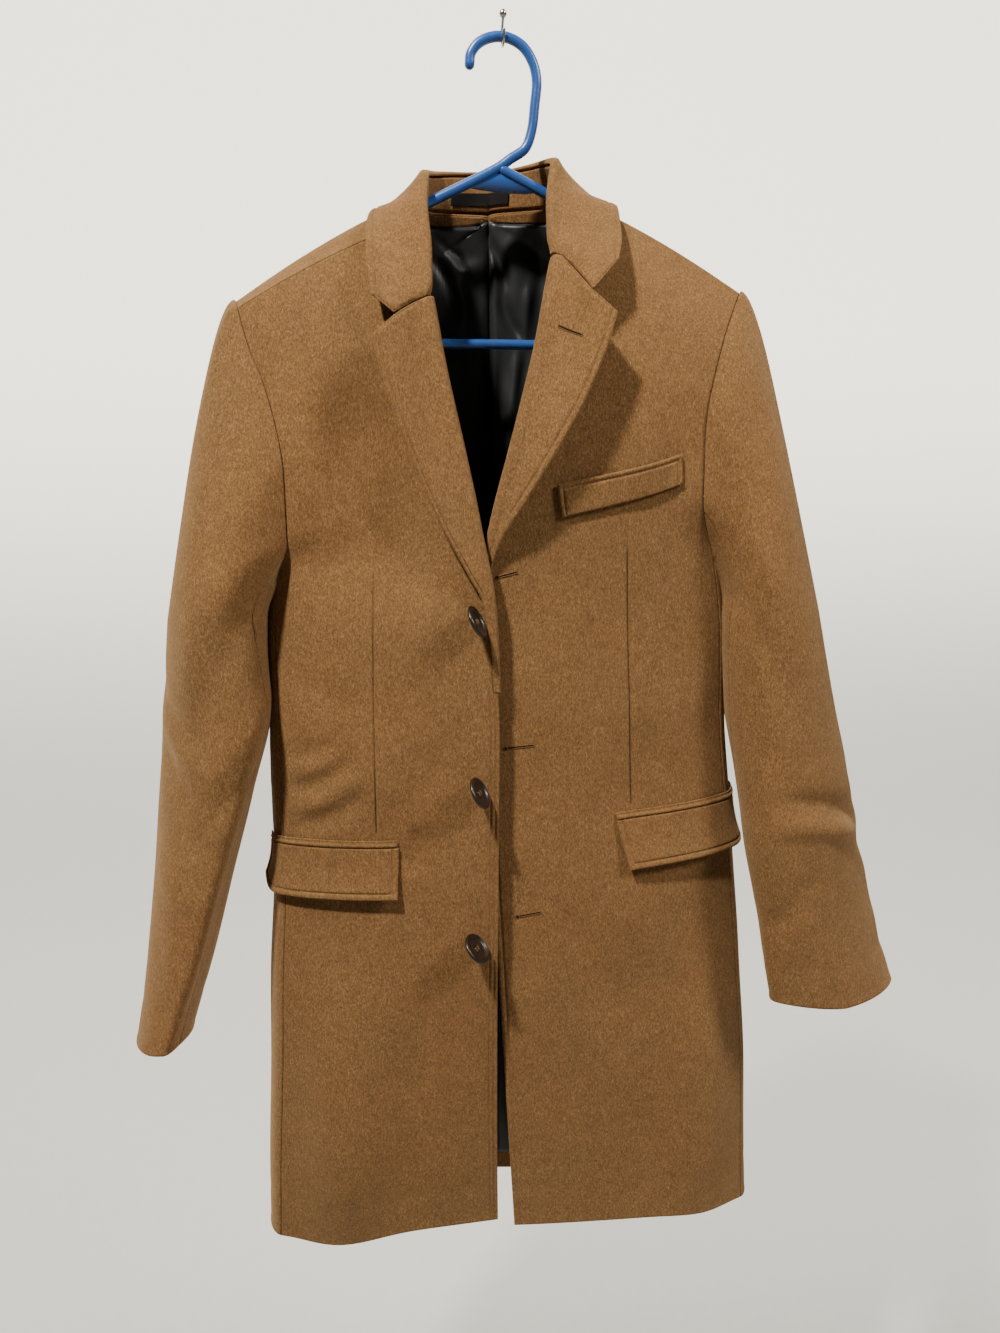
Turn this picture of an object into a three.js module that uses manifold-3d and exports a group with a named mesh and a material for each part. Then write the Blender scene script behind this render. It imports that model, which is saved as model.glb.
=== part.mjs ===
// A single-breasted wool overcoat, unbuttoned, on a tubular plastic hanger that hangs from a wire screw hook.
// Millimetres, +Z up. The coat's front faces -Y. The wearer's right side is at -X.
// The origin is on the screw hook's axis, where it enters the underside of the rail that holds it.
import * as THREE from "three";
import { mergeVertices } from "three/addons/utils/BufferGeometryUtils.js";
import Module from "manifold-3d";

const wasm = await Module();
wasm.setup();

// ---------------------------------------------------------------- driving sizes
const CLOTH = 2.5; // one layer of the wool with its canvas
const TURNED = 3.0; // lapel and collar, where the edge is turned
const LINING = 1.0;
const SEAM = 0.3; // what separates two pieces that are sewn together
const HALF_SEAM = SEAM / 2 + 0.08;
const ROLL = 4.6; // outer radius of the fold of a lapel or of the collar
const OVER = 0.5; // more than a seam, under what lies on a panel
const FLAP = { height: 46, length: 150, proud: 6 };
const JET = { height: 7, proud: 1.2 };
const WELT = { height: 27, proud: 0.5 };
const BUTTON = { diameter: 29, thick: 4.2, rim: 2.6, hole: 1.3, holes: 4, spread: 2.9 };
const TUBE = 8.6; // diameter of the hanger's tube
const HANGER = { half: 199, apexX: -4, apexZ: -119, slopeRight: 27.3, slopeLeft: 28.3, bow: 3, barZ: -263 };
const WIRE = 2.4; // diameter of the screw hook's wire
const LOOSE = 1.2; // between the back and what lies inside it
const HANG_HEM = 20; // wool that shows below the lining at the hem

// ---------------------------------------------------------------- tables
// Each row is a section of the coat, from the shoulder to the hem. "in" is the end at the front edge, roll line,
// neck or centre back, "out" the end at the armhole or side seam, and "turn" how far the section curls towards
// the side, in degrees. "rise" is how far its middle stands above the straight line between its ends.
const columns = (names, rows) => rows.map((row) => Object.fromEntries(names.map((name, i) => [name, row[i]])));
const PANEL = ["inX", "inY", "inZ", "outX", "outY", "outZ", "turn", "rise"];

const FRONT = {
  right: columns(PANEL, [
    [-81, -24, -169, -224, -22, -240, 25, 4], // shoulder seam
    [-77, -38, -200, -216, -30, -272, 35, 2],
    [-70, -50, -236, -203, -37, -308, 45, 0], // gorge
    [-60, -57, -292, -190, -44, -372, 50, 0],
    [-46, -64, -357, -189, -42, -428, 60, 0],
    [-33, -69, -420, -200, -27, -464, 70, 0], // underarm
    [-18, -76, -500, -204, -32, -520, 68, 0], // break of the lapel
    [-12, -78, -600, -202, -37, -600, 68, 0], // waist
    [-13, -77, -700, -202, -40, -700, 68, 0], // pocket
    [-14, -75, -840, -208, -41, -840, 68, 0],
    [-13, -66, -970, -216, -42, -970, 68, 0],
    [-11, -56, -1093, -222, -38, -1104, 68, 0], // hem
  ]),
  left: columns(PANEL, [
    [62, -4, -141, 212, -5, -217, 25, 4],
    [57, -20, -166, 200, -19, -240, 35, 2],
    [42, -39, -200, 187, -32, -272, 45, 0],
    [26, -56, -272, 174, -43, -330, 50, 0],
    [7, -63, -345, 173, -44, -392, 60, 0],
    [-14, -62, -420, 188, -30, -448, 70, 0],
    [-30, -60, -500, 198, -28, -520, 68, 0],
    [-24, -62, -600, 203, -26, -600, 68, 0],
    [-19, -62, -700, 212, -24, -690, 68, 0],
    [-11, -62, -840, 230, -22, -840, 68, 0],
    [-3, -60, -970, 242, -22, -970, 68, 0],
    [5, -56, -1101, 248, -26, -1117, 68, 0],
  ]),
};
const BACK = {
  right: columns(PANEL, [
    [-81, -24, -169, -224, -22, -240, 25, 4], // shoulder seam
    [-78, -2, -146, -228, 2, -232, 25, 5], // top of the shoulder
    [-60, 28, -149, -221, 25, -256, 40, 4],
    [-8, 44, -147, -207, 38, -300, 50, 2], // nape
    [-7, 49, -200, -198, 43, -350, 55, 0],
    [-6, 52, -300, -197, 40, -410, 60, 0],
    [-5, 50, -420, -203, 20, -460, 68, 0], // underarm
    [-5, 46, -520, -206, 22, -520, 68, 0],
    [-5, 42, -600, -202, 20, -600, 68, 0], // waist
    [-5, 40, -700, -203, 20, -700, 68, 0],
    [-4, 36, -840, -212, 18, -840, 68, 0],
    [-3, 30, -970, -219, 14, -970, 68, 0],
    [-2, 24, -1096, -226, 8, -1104, 68, 0], // hem
  ]),
  left: columns(PANEL, [
    [62, -4, -141, 212, -5, -217, 25, 4],
    [60, 8, -140, 217, 10, -216, 25, 5],
    [45, 30, -143, 211, 28, -240, 40, 4],
    [-8, 44, -147, 198, 40, -282, 50, 2],
    [-7, 49, -200, 188, 44, -330, 55, 0],
    [-6, 52, -300, 186, 42, -390, 60, 0],
    [-5, 50, -420, 193, 22, -444, 68, 0],
    [-5, 46, -520, 203, 24, -520, 68, 0],
    [-5, 42, -600, 206, 24, -600, 68, 0],
    [-5, 40, -700, 216, 24, -690, 68, 0],
    [-4, 36, -840, 234, 20, -840, 68, 0],
    [-3, 30, -970, 246, 16, -970, 68, 0],
    [-2, 24, -1096, 252, 8, -1117, 68, 0],
  ]),
};
const UNDERARM = 5; // row of the front tables; the back tables have one row more above it
const HEM = 11;
const BACK_SHIFT = 1;

// Soft folds of the fronts and backs: where on the section, from and to which height, how wide and how proud.
const FOLD = ["at", "wide", "top", "bottom", "proud"];
const FRONT_FOLDS = {
  right: columns(FOLD, [
    [0.62, 0.24, -760, -1250, 20], // the skirt swings forward in front of the hip
    [0.3, 0.16, -300, -520, -5], // hollow below the lapel
    [0.45, 0.12, -560, -700, 4],
    [0.0, 0.12, -560, -960, 3], // the edge lifts
  ]),
  left: columns(FOLD, [
    [0.72, 0.2, -800, -1250, 12],
    [0.8, 0.12, -330, -560, -4],
    [0.35, 0.2, -640, -900, 3],
  ]),
};
const BACK_FOLDS = {
  right: columns(FOLD, [
    [0.45, 0.14, -480, -900, -5],
    [0.62, 0.16, -820, -1250, 8],
  ]),
  left: columns(FOLD, [
    [0.4, 0.14, -460, -860, -4],
    [0.66, 0.16, -860, -1250, 7],
  ]),
};

// Sleeve rings from the biceps to the cuff: centre, half of the long and the short way across, how far the long
// way is turned from the front, in degrees, and how the ring's plane tips along X and Y.
const RING = ["x", "y", "z", "long", "short", "spin", "tipX", "tipY"];
const SLEEVE = {
  right: columns(RING, [
    [-257, -15, -500, 61, 37, 14, 0.0, 0.0],
    [-261, -17, -590, 62, 40, 25, 0.02, 0.0],
    [-273, -19, -660, 61, 37, 20, 0.06, 0.0],
    [-288, -23, -740, 60, 31, 13, 0.1, -0.02],
    [-302, -29, -812, 58, 27, 10, 0.14, -0.06],
    [-318, -36, -880, 53, 23, 8, 0.16, -0.12],
  ]),
  left: columns(RING, [
    [252, -15, -500, 58, 40, 30, 0.0, 0.0],
    [266, -20, -590, 59, 44, 40, -0.04, 0.0],
    [281, -27, -660, 61, 42, 52, -0.08, 0.0],
    [294, -34, -735, 65, 35, 60, -0.14, 0.02],
    [308, -40, -808, 66, 30, 66, -0.16, 0.04],
    [322, -46, -878, 67, 27, 72, -0.14, 0.04],
  ]),
};
// Share of the armhole that each stretch takes, from the shoulder point round the front and back up behind.
const ARMHOLE = { frontEnd: 0.42, backStart: 0.58 };
const SLEEVE_SEAMS = { fore: 0.36, hind: 0.66 }; // where the under sleeve starts and ends round the ring
const CAP = { gap: 0.9, under: 1.8, start: 17, down: 0.42, puff: 0.5, drop: 0.4, flare: { right: 0.17, left: 0.27 } }; // how the sleeve head leaves the armhole

// Lapels: outer edge from the corner down to the break, by the height on the roll line where each row starts.
const EDGE = ["hinge", "x", "y", "z"];
const LAPEL = {
  right: columns(EDGE, [
    [2.0, -115, -73, -266],
    [2.35, -107, -77, -299],
    [3.0, -87, -79, -357],
    [3.9, -63, -80, -413],
    [4.9, -38, -80, -460],
    [5.6, -27, -80, -478],
  ]),
  left: columns(EDGE, [
    [2.0, 84, -79, -246],
    [2.35, 77, -83, -269],
    [3.1, 57, -87, -316],
    [3.9, 32, -85, -361],
    [4.6, 6, -79, -404],
    [5.1, -9, -72, -430],
  ]),
};
// Collar from the right gorge round the neck to the left gorge: top of the stand, and outer edge of the fall.
const COLLAR = columns(
  ["neck", "topX", "topY", "topZ", "edgeX", "edgeY", "edgeZ"],
  [
    [0, -69, -51, -232, -114, -60, -233],
    [0.9, -67, -41, -197, -118, -47, -201],
    [1.8, -68, -25, -160, -117, -19, -168],
    [2.4, -67, -15, -144, -111, 2, -156],
    [3, -66, -3, -130, -102, 26, -156],
    [4, -54, 24, -122, -74, 54, -172],
    [5, -8, 43, -115, -8, 62, -176],
    [6, 32, 24, -112, 56, 54, -164],
    [7, 43, -2, -116, 91, 24, -145],
    [7.6, 40, -12, -133, 95, 4, -145],
    [8.2, 37, -22, -151, 97, -16, -150],
    [9.1, 36, -33, -178, 95, -44, -180],
    [10, 40, -40, -196, 88, -62, -201],
  ],
);
const NOTCH = { right: [-96, -68, -249], left: [65, -71, -228], share: 0.6 };

// ---------------------------------------------------------------- interpolation
const lerp = (a, b, t) => a + (b - a) * t;
const clamp = (x, low, high) => Math.min(high, Math.max(low, x));
const radians = THREE.MathUtils.degToRad;
const vec = (x, y, z) => new THREE.Vector3(x, y, z);

// A column of a table at a fractional row, smooth and without overshoot.
function at(rows, name, t) {
  const last = rows.length - 1;
  const i = clamp(Math.floor(t), 0, last - 1);
  const value = (k) => rows[clamp(k, 0, last)][name];
  const slope = (k) => {
    const before = value(k) - value(k - 1);
    const after = value(k + 1) - value(k);
    if (k <= 0) return after;
    if (k >= last) return before;
    return before * after <= 0 ? 0 : (2 * before * after) / (before + after);
  };
  const s = t - i;
  const s2 = s * s;
  const s3 = s2 * s;
  return (
    value(i) * (2 * s3 - 3 * s2 + 1) +
    slope(i) * (s3 - 2 * s2 + s) +
    value(i + 1) * (3 * s2 - 2 * s3) +
    slope(i + 1) * (s3 - s2)
  );
}
const pointAt = (rows, prefix, t) => vec(at(rows, prefix + "X", t), at(rows, prefix + "Y", t), at(rows, prefix + "Z", t));

// Sum of the folds that pass a place, u along the section and z its height.
function foldsAt(folds, u, z) {
  let sum = 0;
  for (const fold of folds) {
    const along = clamp((fold.top - z) / (fold.top - fold.bottom), 0, 1);
    const across = (u - fold.at) / fold.wide;
    sum += fold.proud * Math.sin(Math.PI * along) ** 2 * Math.exp(-across * across);
  }
  return sum;
}

// ---------------------------------------------------------------- the coat's surfaces
// u runs from the "in" end to the "out" end, and v is the row.
function panelPoint(rows, folds, outward, u, v) {
  const start = pointAt(rows, "in", v);
  const end = pointAt(rows, "out", v);
  const turn = radians(at(rows, "turn", v));
  const share = Math.sin(u * turn) / Math.sin(turn);
  const depth = (Math.cos(u * turn) - Math.cos(turn)) / (1 - Math.cos(turn));
  const z = lerp(start.z, end.z, share);
  const fade = 1 - clamp(u, 0, 1) ** 6; // folds die out at the seam
  const rise = at(rows, "rise", v) * Math.sin(Math.PI * clamp(u, 0, 1));
  return vec(lerp(start.x, end.x, share), lerp(end.y, start.y, depth) + outward * fade * foldsAt(folds, u, z), z + rise);
}
const front = (side) => (u, v) => panelPoint(FRONT[side], FRONT_FOLDS[side], -1, u, v);
const back = (side) => (u, v) => panelPoint(BACK[side], BACK_FOLDS[side], 1, u, v);

// The side panel carries on the curve of its neighbours round the side of the coat.
const SIDE = { handle: 0.3, scoop: 9 };
function sidePanel(side) {
  const before = front(side);
  const after = back(side);
  const step = 1e-3;
  return (u, v) => {
    const p0 = before(1, v);
    const p3 = after(1, v + BACK_SHIFT);
    const reach = SIDE.handle * p0.distanceTo(p3);
    const p1 = p0.clone().sub(before(1 - step, v)).setLength(reach).add(p0);
    const p2 = p3.clone().sub(after(1 - step, v + BACK_SHIFT)).setLength(reach).add(p3);
    const point = new THREE.CubicBezierCurve3(p0, p1, p2, p3).getPoint(clamp(u, 0, 1));
    point.z = lerp(p0.z, p3.z, u) - SIDE.scoop * Math.sin(Math.PI * u) * clamp(UNDERARM + 1 - v, 0, 1);
    return point;
  };
}

// The armhole as a loop: 0 is the shoulder point, a quarter the front, a half the underarm.
function armhole(side) {
  const frontOf = front(side);
  const backOf = back(side);
  const sideOf = sidePanel(side);
  return (a) => {
    const share = a - Math.floor(a);
    if (share <= ARMHOLE.frontEnd) return frontOf(1, (UNDERARM * share) / ARMHOLE.frontEnd);
    if (share < ARMHOLE.backStart) {
      return sideOf((share - ARMHOLE.frontEnd) / (ARMHOLE.backStart - ARMHOLE.frontEnd), UNDERARM);
    }
    return backOf(1, ((UNDERARM + BACK_SHIFT) * (1 - share)) / (1 - ARMHOLE.backStart));
  };
}

const outwardOf = (side) => (side === "right" ? -1 : 1);

// A point of a sleeve ring: a as in the armhole, t the row of the table.
function ringPoint(side, a, t) {
  const rows = SLEEVE[side];
  const spin = radians(at(rows, "spin", t));
  const angle = 2 * Math.PI * a;
  const out = outwardOf(side);
  const forward = vec(-out * Math.sin(spin), -Math.cos(spin), 0);
  const sideways = vec(out * Math.cos(spin), -Math.sin(spin), 0);
  const offset = forward
    .multiplyScalar(at(rows, "long", t) * Math.sin(angle))
    .add(sideways.multiplyScalar(at(rows, "short", t) * Math.cos(angle)));
  offset.z = offset.x * at(rows, "tipX", t) + offset.y * at(rows, "tipY", t);
  return offset.add(vec(at(rows, "x", t), at(rows, "y", t), at(rows, "z", t)));
}

// The whole sleeve: t from -1 at the armhole to 0 at the biceps ring, then down the table's rows to the cuff.
function sleeve(side) {
  const loop = armhole(side);
  const out = outwardOf(side);
  return (a, t) => {
    if (t >= 0) return ringPoint(side, a, t);
    const angle = 2 * Math.PI * a;
    const start = loop(a);
    const end = ringPoint(side, a, 0);
    const drop = start.z - end.z;
    const leave = vec(out, -Math.sin(angle) * CAP.puff, (Math.cos(angle) - 1) * CAP.drop).normalize();
    const high = clamp(drop / 200, 0.12, 1);
    const low = ((1 - Math.cos(angle)) / 2) ** 2;
    start.x += out * (CAP.gap + CAP.under * low);
    start.z += low;
    const p1 = leave.multiplyScalar(CAP.start * high).add(start);
    const above = vec(-out * CAP.flare[side] * Math.cos(angle), 0, 1).multiplyScalar(CAP.down * Math.max(drop, 14));
    return new THREE.CubicBezierCurve3(start, p1, above.add(end), end).getPoint(t + 1);
  };
}

// ---------------------------------------------------------------- solids
function normalOf(surface, facing) {
  const [du, dv] = [0.01, 0.1];
  return (u, v) => {
    const across = surface(u + du, v).sub(surface(u - du, v));
    const along = surface(u, v + dv).sub(surface(u, v - dv));
    return across.cross(along).normalize().multiplyScalar(facing);
  };
}
const between = (a, b) => a.clone().add(b).normalize();

// A wall with its outer face on surface(u, v), thick inwards along normal(u, v), which neighbours share at a seam.
function wall(surface, normal, us, vs, thick, lift = () => 0) {
  const outer = [];
  const inner = [];
  for (const v of vs) {
    for (const u of us) {
      const direction = normal(u, v);
      outer.push(surface(u, v).addScaledVector(direction, lift(u, v)));
      inner.push(surface(u, v).addScaledVector(direction, lift(u, v) - thick));
    }
  }
  return closed(outer, inner, us.length, vs.length);
}

// Two like grids of points joined into one closed solid.
function closed(outer, inner, across, along) {
  const points = [...outer, ...inner];
  const shift = outer.length;
  const triangles = [];
  const quad = (a, b, c, d) => triangles.push([a, b, c], [a, c, d]);
  const index = (i, j) => j * across + i;
  for (let j = 0; j + 1 < along; j++) {
    for (let i = 0; i + 1 < across; i++) {
      const [a, b, c, d] = [index(i, j), index(i + 1, j), index(i + 1, j + 1), index(i, j + 1)];
      quad(a, b, c, d);
      quad(a + shift, d + shift, c + shift, b + shift);
    }
    const [a, b] = [index(0, j), index(0, j + 1)];
    quad(a, b, b + shift, a + shift);
    const [c, d] = [index(across - 1, j), index(across - 1, j + 1)];
    quad(d, c, c + shift, d + shift);
  }
  for (let i = 0; i + 1 < across; i++) {
    const [a, b] = [index(i, 0), index(i + 1, 0)];
    quad(b, a, a + shift, b + shift);
    const [c, d] = [index(i, along - 1), index(i + 1, along - 1)];
    quad(c, d, d + shift, c + shift);
  }
  return facingOut(points, triangles);
}

function facingOut(points, triangles) {
  const volume = triangles.reduce((sum, [a, b, c]) => sum + points[a].dot(points[b].clone().cross(points[c])), 0);
  const flat = triangles.flatMap(([a, b, c]) => (volume < 0 ? [a, c, b] : [a, b, c]));
  const geometry = new THREE.BufferGeometry().setFromPoints(points);
  geometry.setIndex(flat);
  return geometry;
}

const steps = (from, to, count) => Array.from({ length: count + 1 }, (_, i) => lerp(from, to, i / count));
// Rows of a panel, with as many steps in each stretch as its length asks for.
function rowsBetween(from, to, per) {
  const list = [from];
  for (let row = Math.floor(from); row < to; row++) {
    const a = Math.max(row, from);
    const b = Math.min(row + 1, to);
    const count = per[row] ?? 2;
    for (let k = 1; k <= count; k++) list.push(lerp(a, b, k / count));
  }
  return list;
}
const PER_ROW = [1, 1, 2, 2, 1, 2, 2, 2, 2, 2, 2]; // steps in each stretch of the front tables
const PER_ROW_BACK = [1, 2, 2, 2, 2, 2, ...PER_ROW.slice(UNDERARM)];

// Keeps a surface a little inside its borders, so that neighbours stay apart. Sizes are millimetres.
function inset(surface, us, vs, gap) {
  const lengthOf = (points) => points.slice(1).reduce((sum, p, i) => sum + p.distanceTo(points[i]), 0);
  const middleV = vs[Math.floor(vs.length / 2)];
  const middleU = us[Math.floor(us.length / 2)];
  const wide = lengthOf(us.map((u) => surface(u, middleV)));
  const tall = lengthOf(vs.map((v) => surface(middleU, v)));
  const pull = (list, size) => {
    const share = (gap / size) * (list.at(-1) - list[0]);
    return list.map((x, i) => (i === 0 ? x + share : i === list.length - 1 ? x - share : x));
  };
  return [pull(us, wide), pull(vs, tall)];
}

const manifoldOf = (geometry) => {
  const bare = geometry.clone();
  bare.deleteAttribute("normal");
  bare.deleteAttribute("uv");
  const merged = mergeVertices(bare, 1e-4);
  const mesh = new wasm.Mesh({
    numProp: 3,
    vertProperties: new Float32Array(merged.attributes.position.array),
    triVerts: new Uint32Array(merged.index.array),
  });
  return new wasm.Manifold(mesh);
};
function geometryOf(manifold) {
  const mesh = manifold.getMesh();
  const geometry = new THREE.BufferGeometry();
  geometry.setAttribute("position", new THREE.BufferAttribute(new Float32Array(mesh.vertProperties), 3));
  geometry.setIndex(new THREE.BufferAttribute(new Uint32Array(mesh.triVerts), 1));
  return geometry;
}

// ---------------------------------------------------------------- group and materials
const coat = new THREE.Group();
const material = (color, roughness, metalness = 0) => new THREE.MeshStandardMaterial({ color, roughness, metalness });
const WOOL = material(0x9c7145, 0.95);
const SATIN = material(0x14151a, 0.35);
const HORN = material(0x2b1c12, 0.35);
const PLASTIC = material(0x2a52a0, 0.35);
const NICKEL = material(0xb9b6ad, 0.3, 1);
const LABEL = material(0x1b1b1c, 0.7);
function add(name, geometry, finish) {
  const mesh = new THREE.Mesh(geometry, finish);
  mesh.name = name;
  coat.add(mesh);
}

// ---------------------------------------------------------------- body panels
const facingOf = (side) => (side === "right" ? 1 : -1);
const SIDES = ["right", "left"];

const skins = {};
for (const side of SIDES) {
  const sign = facingOf(side);
  const plain = {
    front: normalOf(front(side), sign),
    side: normalOf(sidePanel(side), sign),
    back: normalOf(back(side), -sign),
  };
  const edge = 0.02;
  skins[side] = {
    front: {
      surface: front(side),
      normal: (u, v) => {
        if (v < edge) return between(plain.front(u, v), plain.back(u, v));
        return u > 1 - edge && v >= UNDERARM ? between(plain.front(u, v), plain.side(0, v)) : plain.front(u, v);
      },
    },
    side: {
      surface: sidePanel(side),
      normal: (u, v) => {
        if (u < edge) return between(plain.front(1, v), plain.side(u, v));
        return u > 1 - edge ? between(plain.back(1, v + BACK_SHIFT), plain.side(u, v)) : plain.side(u, v);
      },
    },
    back: {
      surface: back(side),
      normal: (u, v) => {
        if (v < edge) return between(plain.front(u, v), plain.back(u, v));
        if (u < edge && v > 2.9) return plain.back(u, v).setX(0).normalize();
        const seam = u > 1 - edge && v >= UNDERARM + BACK_SHIFT;
        return seam ? between(plain.back(u, v), plain.side(1, v - BACK_SHIFT)) : plain.back(u, v);
      },
    },
  };
}

function addPanel(name, skin, us, vs) {
  const [u, v] = inset(skin.surface, us, vs, HALF_SEAM);
  add(name, wall(skin.surface, skin.normal, u, v, CLOTH), WOOL);
}
for (const side of SIDES) {
  addPanel(`front_${side}`, skins[side].front, steps(0, 1, 9), rowsBetween(0, HEM, PER_ROW));
  addPanel(`side_${side}`, skins[side].side, steps(0, 1, 4), rowsBetween(UNDERARM, HEM, PER_ROW));
  addPanel(`back_${side}`, skins[side].back, steps(0, 1, 9), rowsBetween(0, HEM + BACK_SHIFT, PER_ROW_BACK));
}

// ---------------------------------------------------------------- sleeves
const SLEEVE_ROWS = [-1, -0.8, -0.6, -0.4, -0.2, 0, 0.5, 1, 1.5, 2, 2.5, 3, 3.5, 4, 4.5, 5];
for (const side of SIDES) {
  const surface = sleeve(side);
  const normal = normalOf(surface, facingOf(side));
  const top = steps(SLEEVE_SEAMS.hind - 1, SLEEVE_SEAMS.fore, 13);
  const under = steps(SLEEVE_SEAMS.fore, SLEEVE_SEAMS.hind, 7);
  for (const [name, around] of [
    ["top", top],
    ["under", under],
  ]) {
    const [u] = inset(surface, around, SLEEVE_ROWS.slice(5), HALF_SEAM);
    add(`sleeve_${name}_${side}`, wall(surface, normal, u, SLEEVE_ROWS, CLOTH), WOOL);
  }
}

// ---------------------------------------------------------------- lapels and collar
// A leaf that turns over a fold line. "hinge" is the fold's line on the piece it turns over, "inward" the way that
// piece ends there, "outward" its face, and "rim" the leaf's outer edge. s runs from the fold to the rim.
const TURN = 0.3; // share of s that the fold itself takes
function leaf({ hinge, inward, outward, rim, roll, bend }) {
  return (s, h) => {
    const radius = roll(h);
    const centre = hinge(h)
      .addScaledVector(inward(h), SEAM)
      .addScaledVector(outward(h), radius - CLOTH);
    const round = (angle) =>
      centre
        .clone()
        .addScaledVector(inward(h), radius * Math.sin(angle))
        .addScaledVector(outward(h), -radius * Math.cos(angle));
    if (s <= TURN) return round((Math.PI * s) / TURN).add(bend(s, h));
    const t = (s - TURN) / (1 - TURN);
    const start = round(Math.PI);
    const end = rim(h);
    const reach = start.distanceTo(end);
    const p1 = start.clone().addScaledVector(inward(h), -0.3 * reach);
    const p2 = end.clone().lerp(start, 0.35).addScaledVector(outward(h), 0.05 * reach);
    return new THREE.CubicBezierCurve3(start, p1, p2, end).getPoint(t).add(bend(s, h));
  };
}
const LEAF_STEPS = [...steps(0, TURN, 4), ...steps(TURN, 1, 5).slice(1)];

// The notch lies on the end row of lapel and collar, at this s. Past it the end row runs on to the rim.
const NOTCH_AT = TURN + NOTCH.share * (1 - TURN);
const fadeTo = (h, end, reach) => clamp(1 - Math.abs(h - end) / reach, 0, 1) ** 2;
const pastNotch = (s) => (1 - s) / (1 - NOTCH_AT);

const lapels = {};
for (const side of SIDES) {
  const { surface, normal } = skins[side].front;
  const rows = LAPEL[side];
  const first = rows[0].hinge;
  const last = rows.at(-1).hinge;
  const rowOf = (h) => {
    const i = rows.findIndex((row, k) => k === rows.length - 2 || h < rows[k + 1].hinge);
    return i + (h - rows[i].hinge) / (rows[i + 1].hinge - rows[i].hinge);
  };
  const parts = {
    hinge: (h) => surface(0, h),
    inward: (h) => surface(0, h).sub(surface(0.02, h)).normalize(),
    outward: (h) => normal(0.03, h),
    rim: (h) => vec(at(rows, "x", rowOf(h)), at(rows, "y", rowOf(h)), at(rows, "z", rowOf(h))),
    roll: (h) => lerp(ROLL, 3.6, clamp((h - last + 1) / 1, 0, 1)),
    bend: () => vec(0, 0, 0),
  };
  const plain = leaf(parts);
  const toNotch = vec(...NOTCH[side]).sub(plain(NOTCH_AT, first));
  parts.bend = (t, h) => {
    const peak = t > NOTCH_AT ? pastNotch(t) : Math.sin((Math.PI / 2) * clamp((t - TURN) / (NOTCH_AT - TURN), 0, 1));
    return toNotch.clone().multiplyScalar(fadeTo(h, first, 0.9) * peak);
  };
  const whole = leaf(parts);
  lapels[side] = { surface: whole, normal: normalOf(whole, -facingOf(side)), first };
  const across = LEAF_STEPS;
  const down = steps(first, last, 9);
  const [u, v] = inset(whole, across, down, HALF_SEAM + 0.25);
  u[0] = 0;
  add(`lapel_${side}`, wall(whole, lapels[side].normal, u, v, TURNED), WOOL);
}

const neckPoint = (n) => {
  if (n <= 2) return front("right")(0, 2 - n);
  if (n <= 5) return back("right")(0, n - 2);
  return n <= 8 ? back("left")(0, 8 - n) : front("left")(0, n - 8);
};
const collarTop = (n) => pointAt(COLLAR, "top", collarRow(n));
const collarRim = (n) => pointAt(COLLAR, "edge", collarRow(n));
function collarRow(n) {
  const i = COLLAR.findIndex((row, k) => k === COLLAR.length - 2 || n < COLLAR[k + 1].neck);
  return i + (n - COLLAR[i].neck) / (COLLAR[i + 1].neck - COLLAR[i].neck);
}
// The stand rises from the neck seam; u goes up and v round the neck.
const STAND = { foot: 0.06, start: 0.5, lower: 0.35 }; // its foot above the seam, and where its ends are, short of the gorge
function stand(u, v) {
  const foot = neckPoint(v);
  const top = collarTop(v);
  return foot.lerp(top, u);
}
const NECK = [0, 0.6, 0.9, 1.35, 1.8, 2.4, 3, 3.5, 4, 4.5, 5, 5.5, 6, 6.5, 7, 7.6, 8.2, 8.65, 9.1, 9.4, 10];
const standNormal = normalOf(stand, 1);
{
  const [u, v] = inset(stand, steps(0, 1, 2), NECK, HALF_SEAM + 0.2);
  u[0] = STAND.foot;
  v[0] = STAND.start;
  v[v.length - 1] = 10 - STAND.start;
  const short = (n) => 1 - STAND.lower * Math.max(fadeTo(n, 0, 1.6), fadeTo(n, 10, 1.6));
  const trimmed = (a, b) => stand(a * short(b), b);
  add("collar_stand", wall(trimmed, standNormal, u, v, CLOTH), WOOL);
}
const fallParts = {
  hinge: (n) => stand(1, n),
  inward: (n) => stand(1, n).sub(stand(0.9, n)).normalize(),
  outward: (n) => standNormal(0.95, n),
  rim: collarRim,
  roll: () => ROLL,
  bend: () => vec(0, 0, 0),
};
// Its end rows are the lapels' end rows as far as the notch.
{
  const plain = leaf(fallParts);
  const ends = SIDES.map((side) => ({ lapel: lapels[side], end: side === "right" ? 0 : 10 }));
  fallParts.bend = (s, n) => {
    const sum = vec(0, 0, 0);
    for (const { lapel, end } of ends) {
      const fade = fadeTo(n, end, 0.45 + 0.75 * Math.min(s / TURN, 1));
      if (fade === 0) continue;
      const at = Math.min(s, NOTCH_AT);
      const shift = lapel.surface(at, lapel.first).sub(plain(at, end));
      sum.addScaledVector(shift, fade * (s > NOTCH_AT ? pastNotch(s) : 1));
    }
    return sum;
  };
}
const fall = leaf(fallParts);
const fallNormal = normalOf(fall, -1);
{
  const [, v] = inset(fall, LEAF_STEPS, NECK, HALF_SEAM + 0.3);
  const normal = (s, n) => {
    if (s > NOTCH_AT || (n > 0.1 && n < 9.9)) return fallNormal(s, n);
    const lapel = lapels[n < 5 ? "right" : "left"];
    return between(fallNormal(s, n), lapel.normal(s, lapel.first));
  };
  add("collar_fall", wall(fall, normal, [0.02, ...LEAF_STEPS.slice(1)], v, TURNED), WOOL);
}

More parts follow.
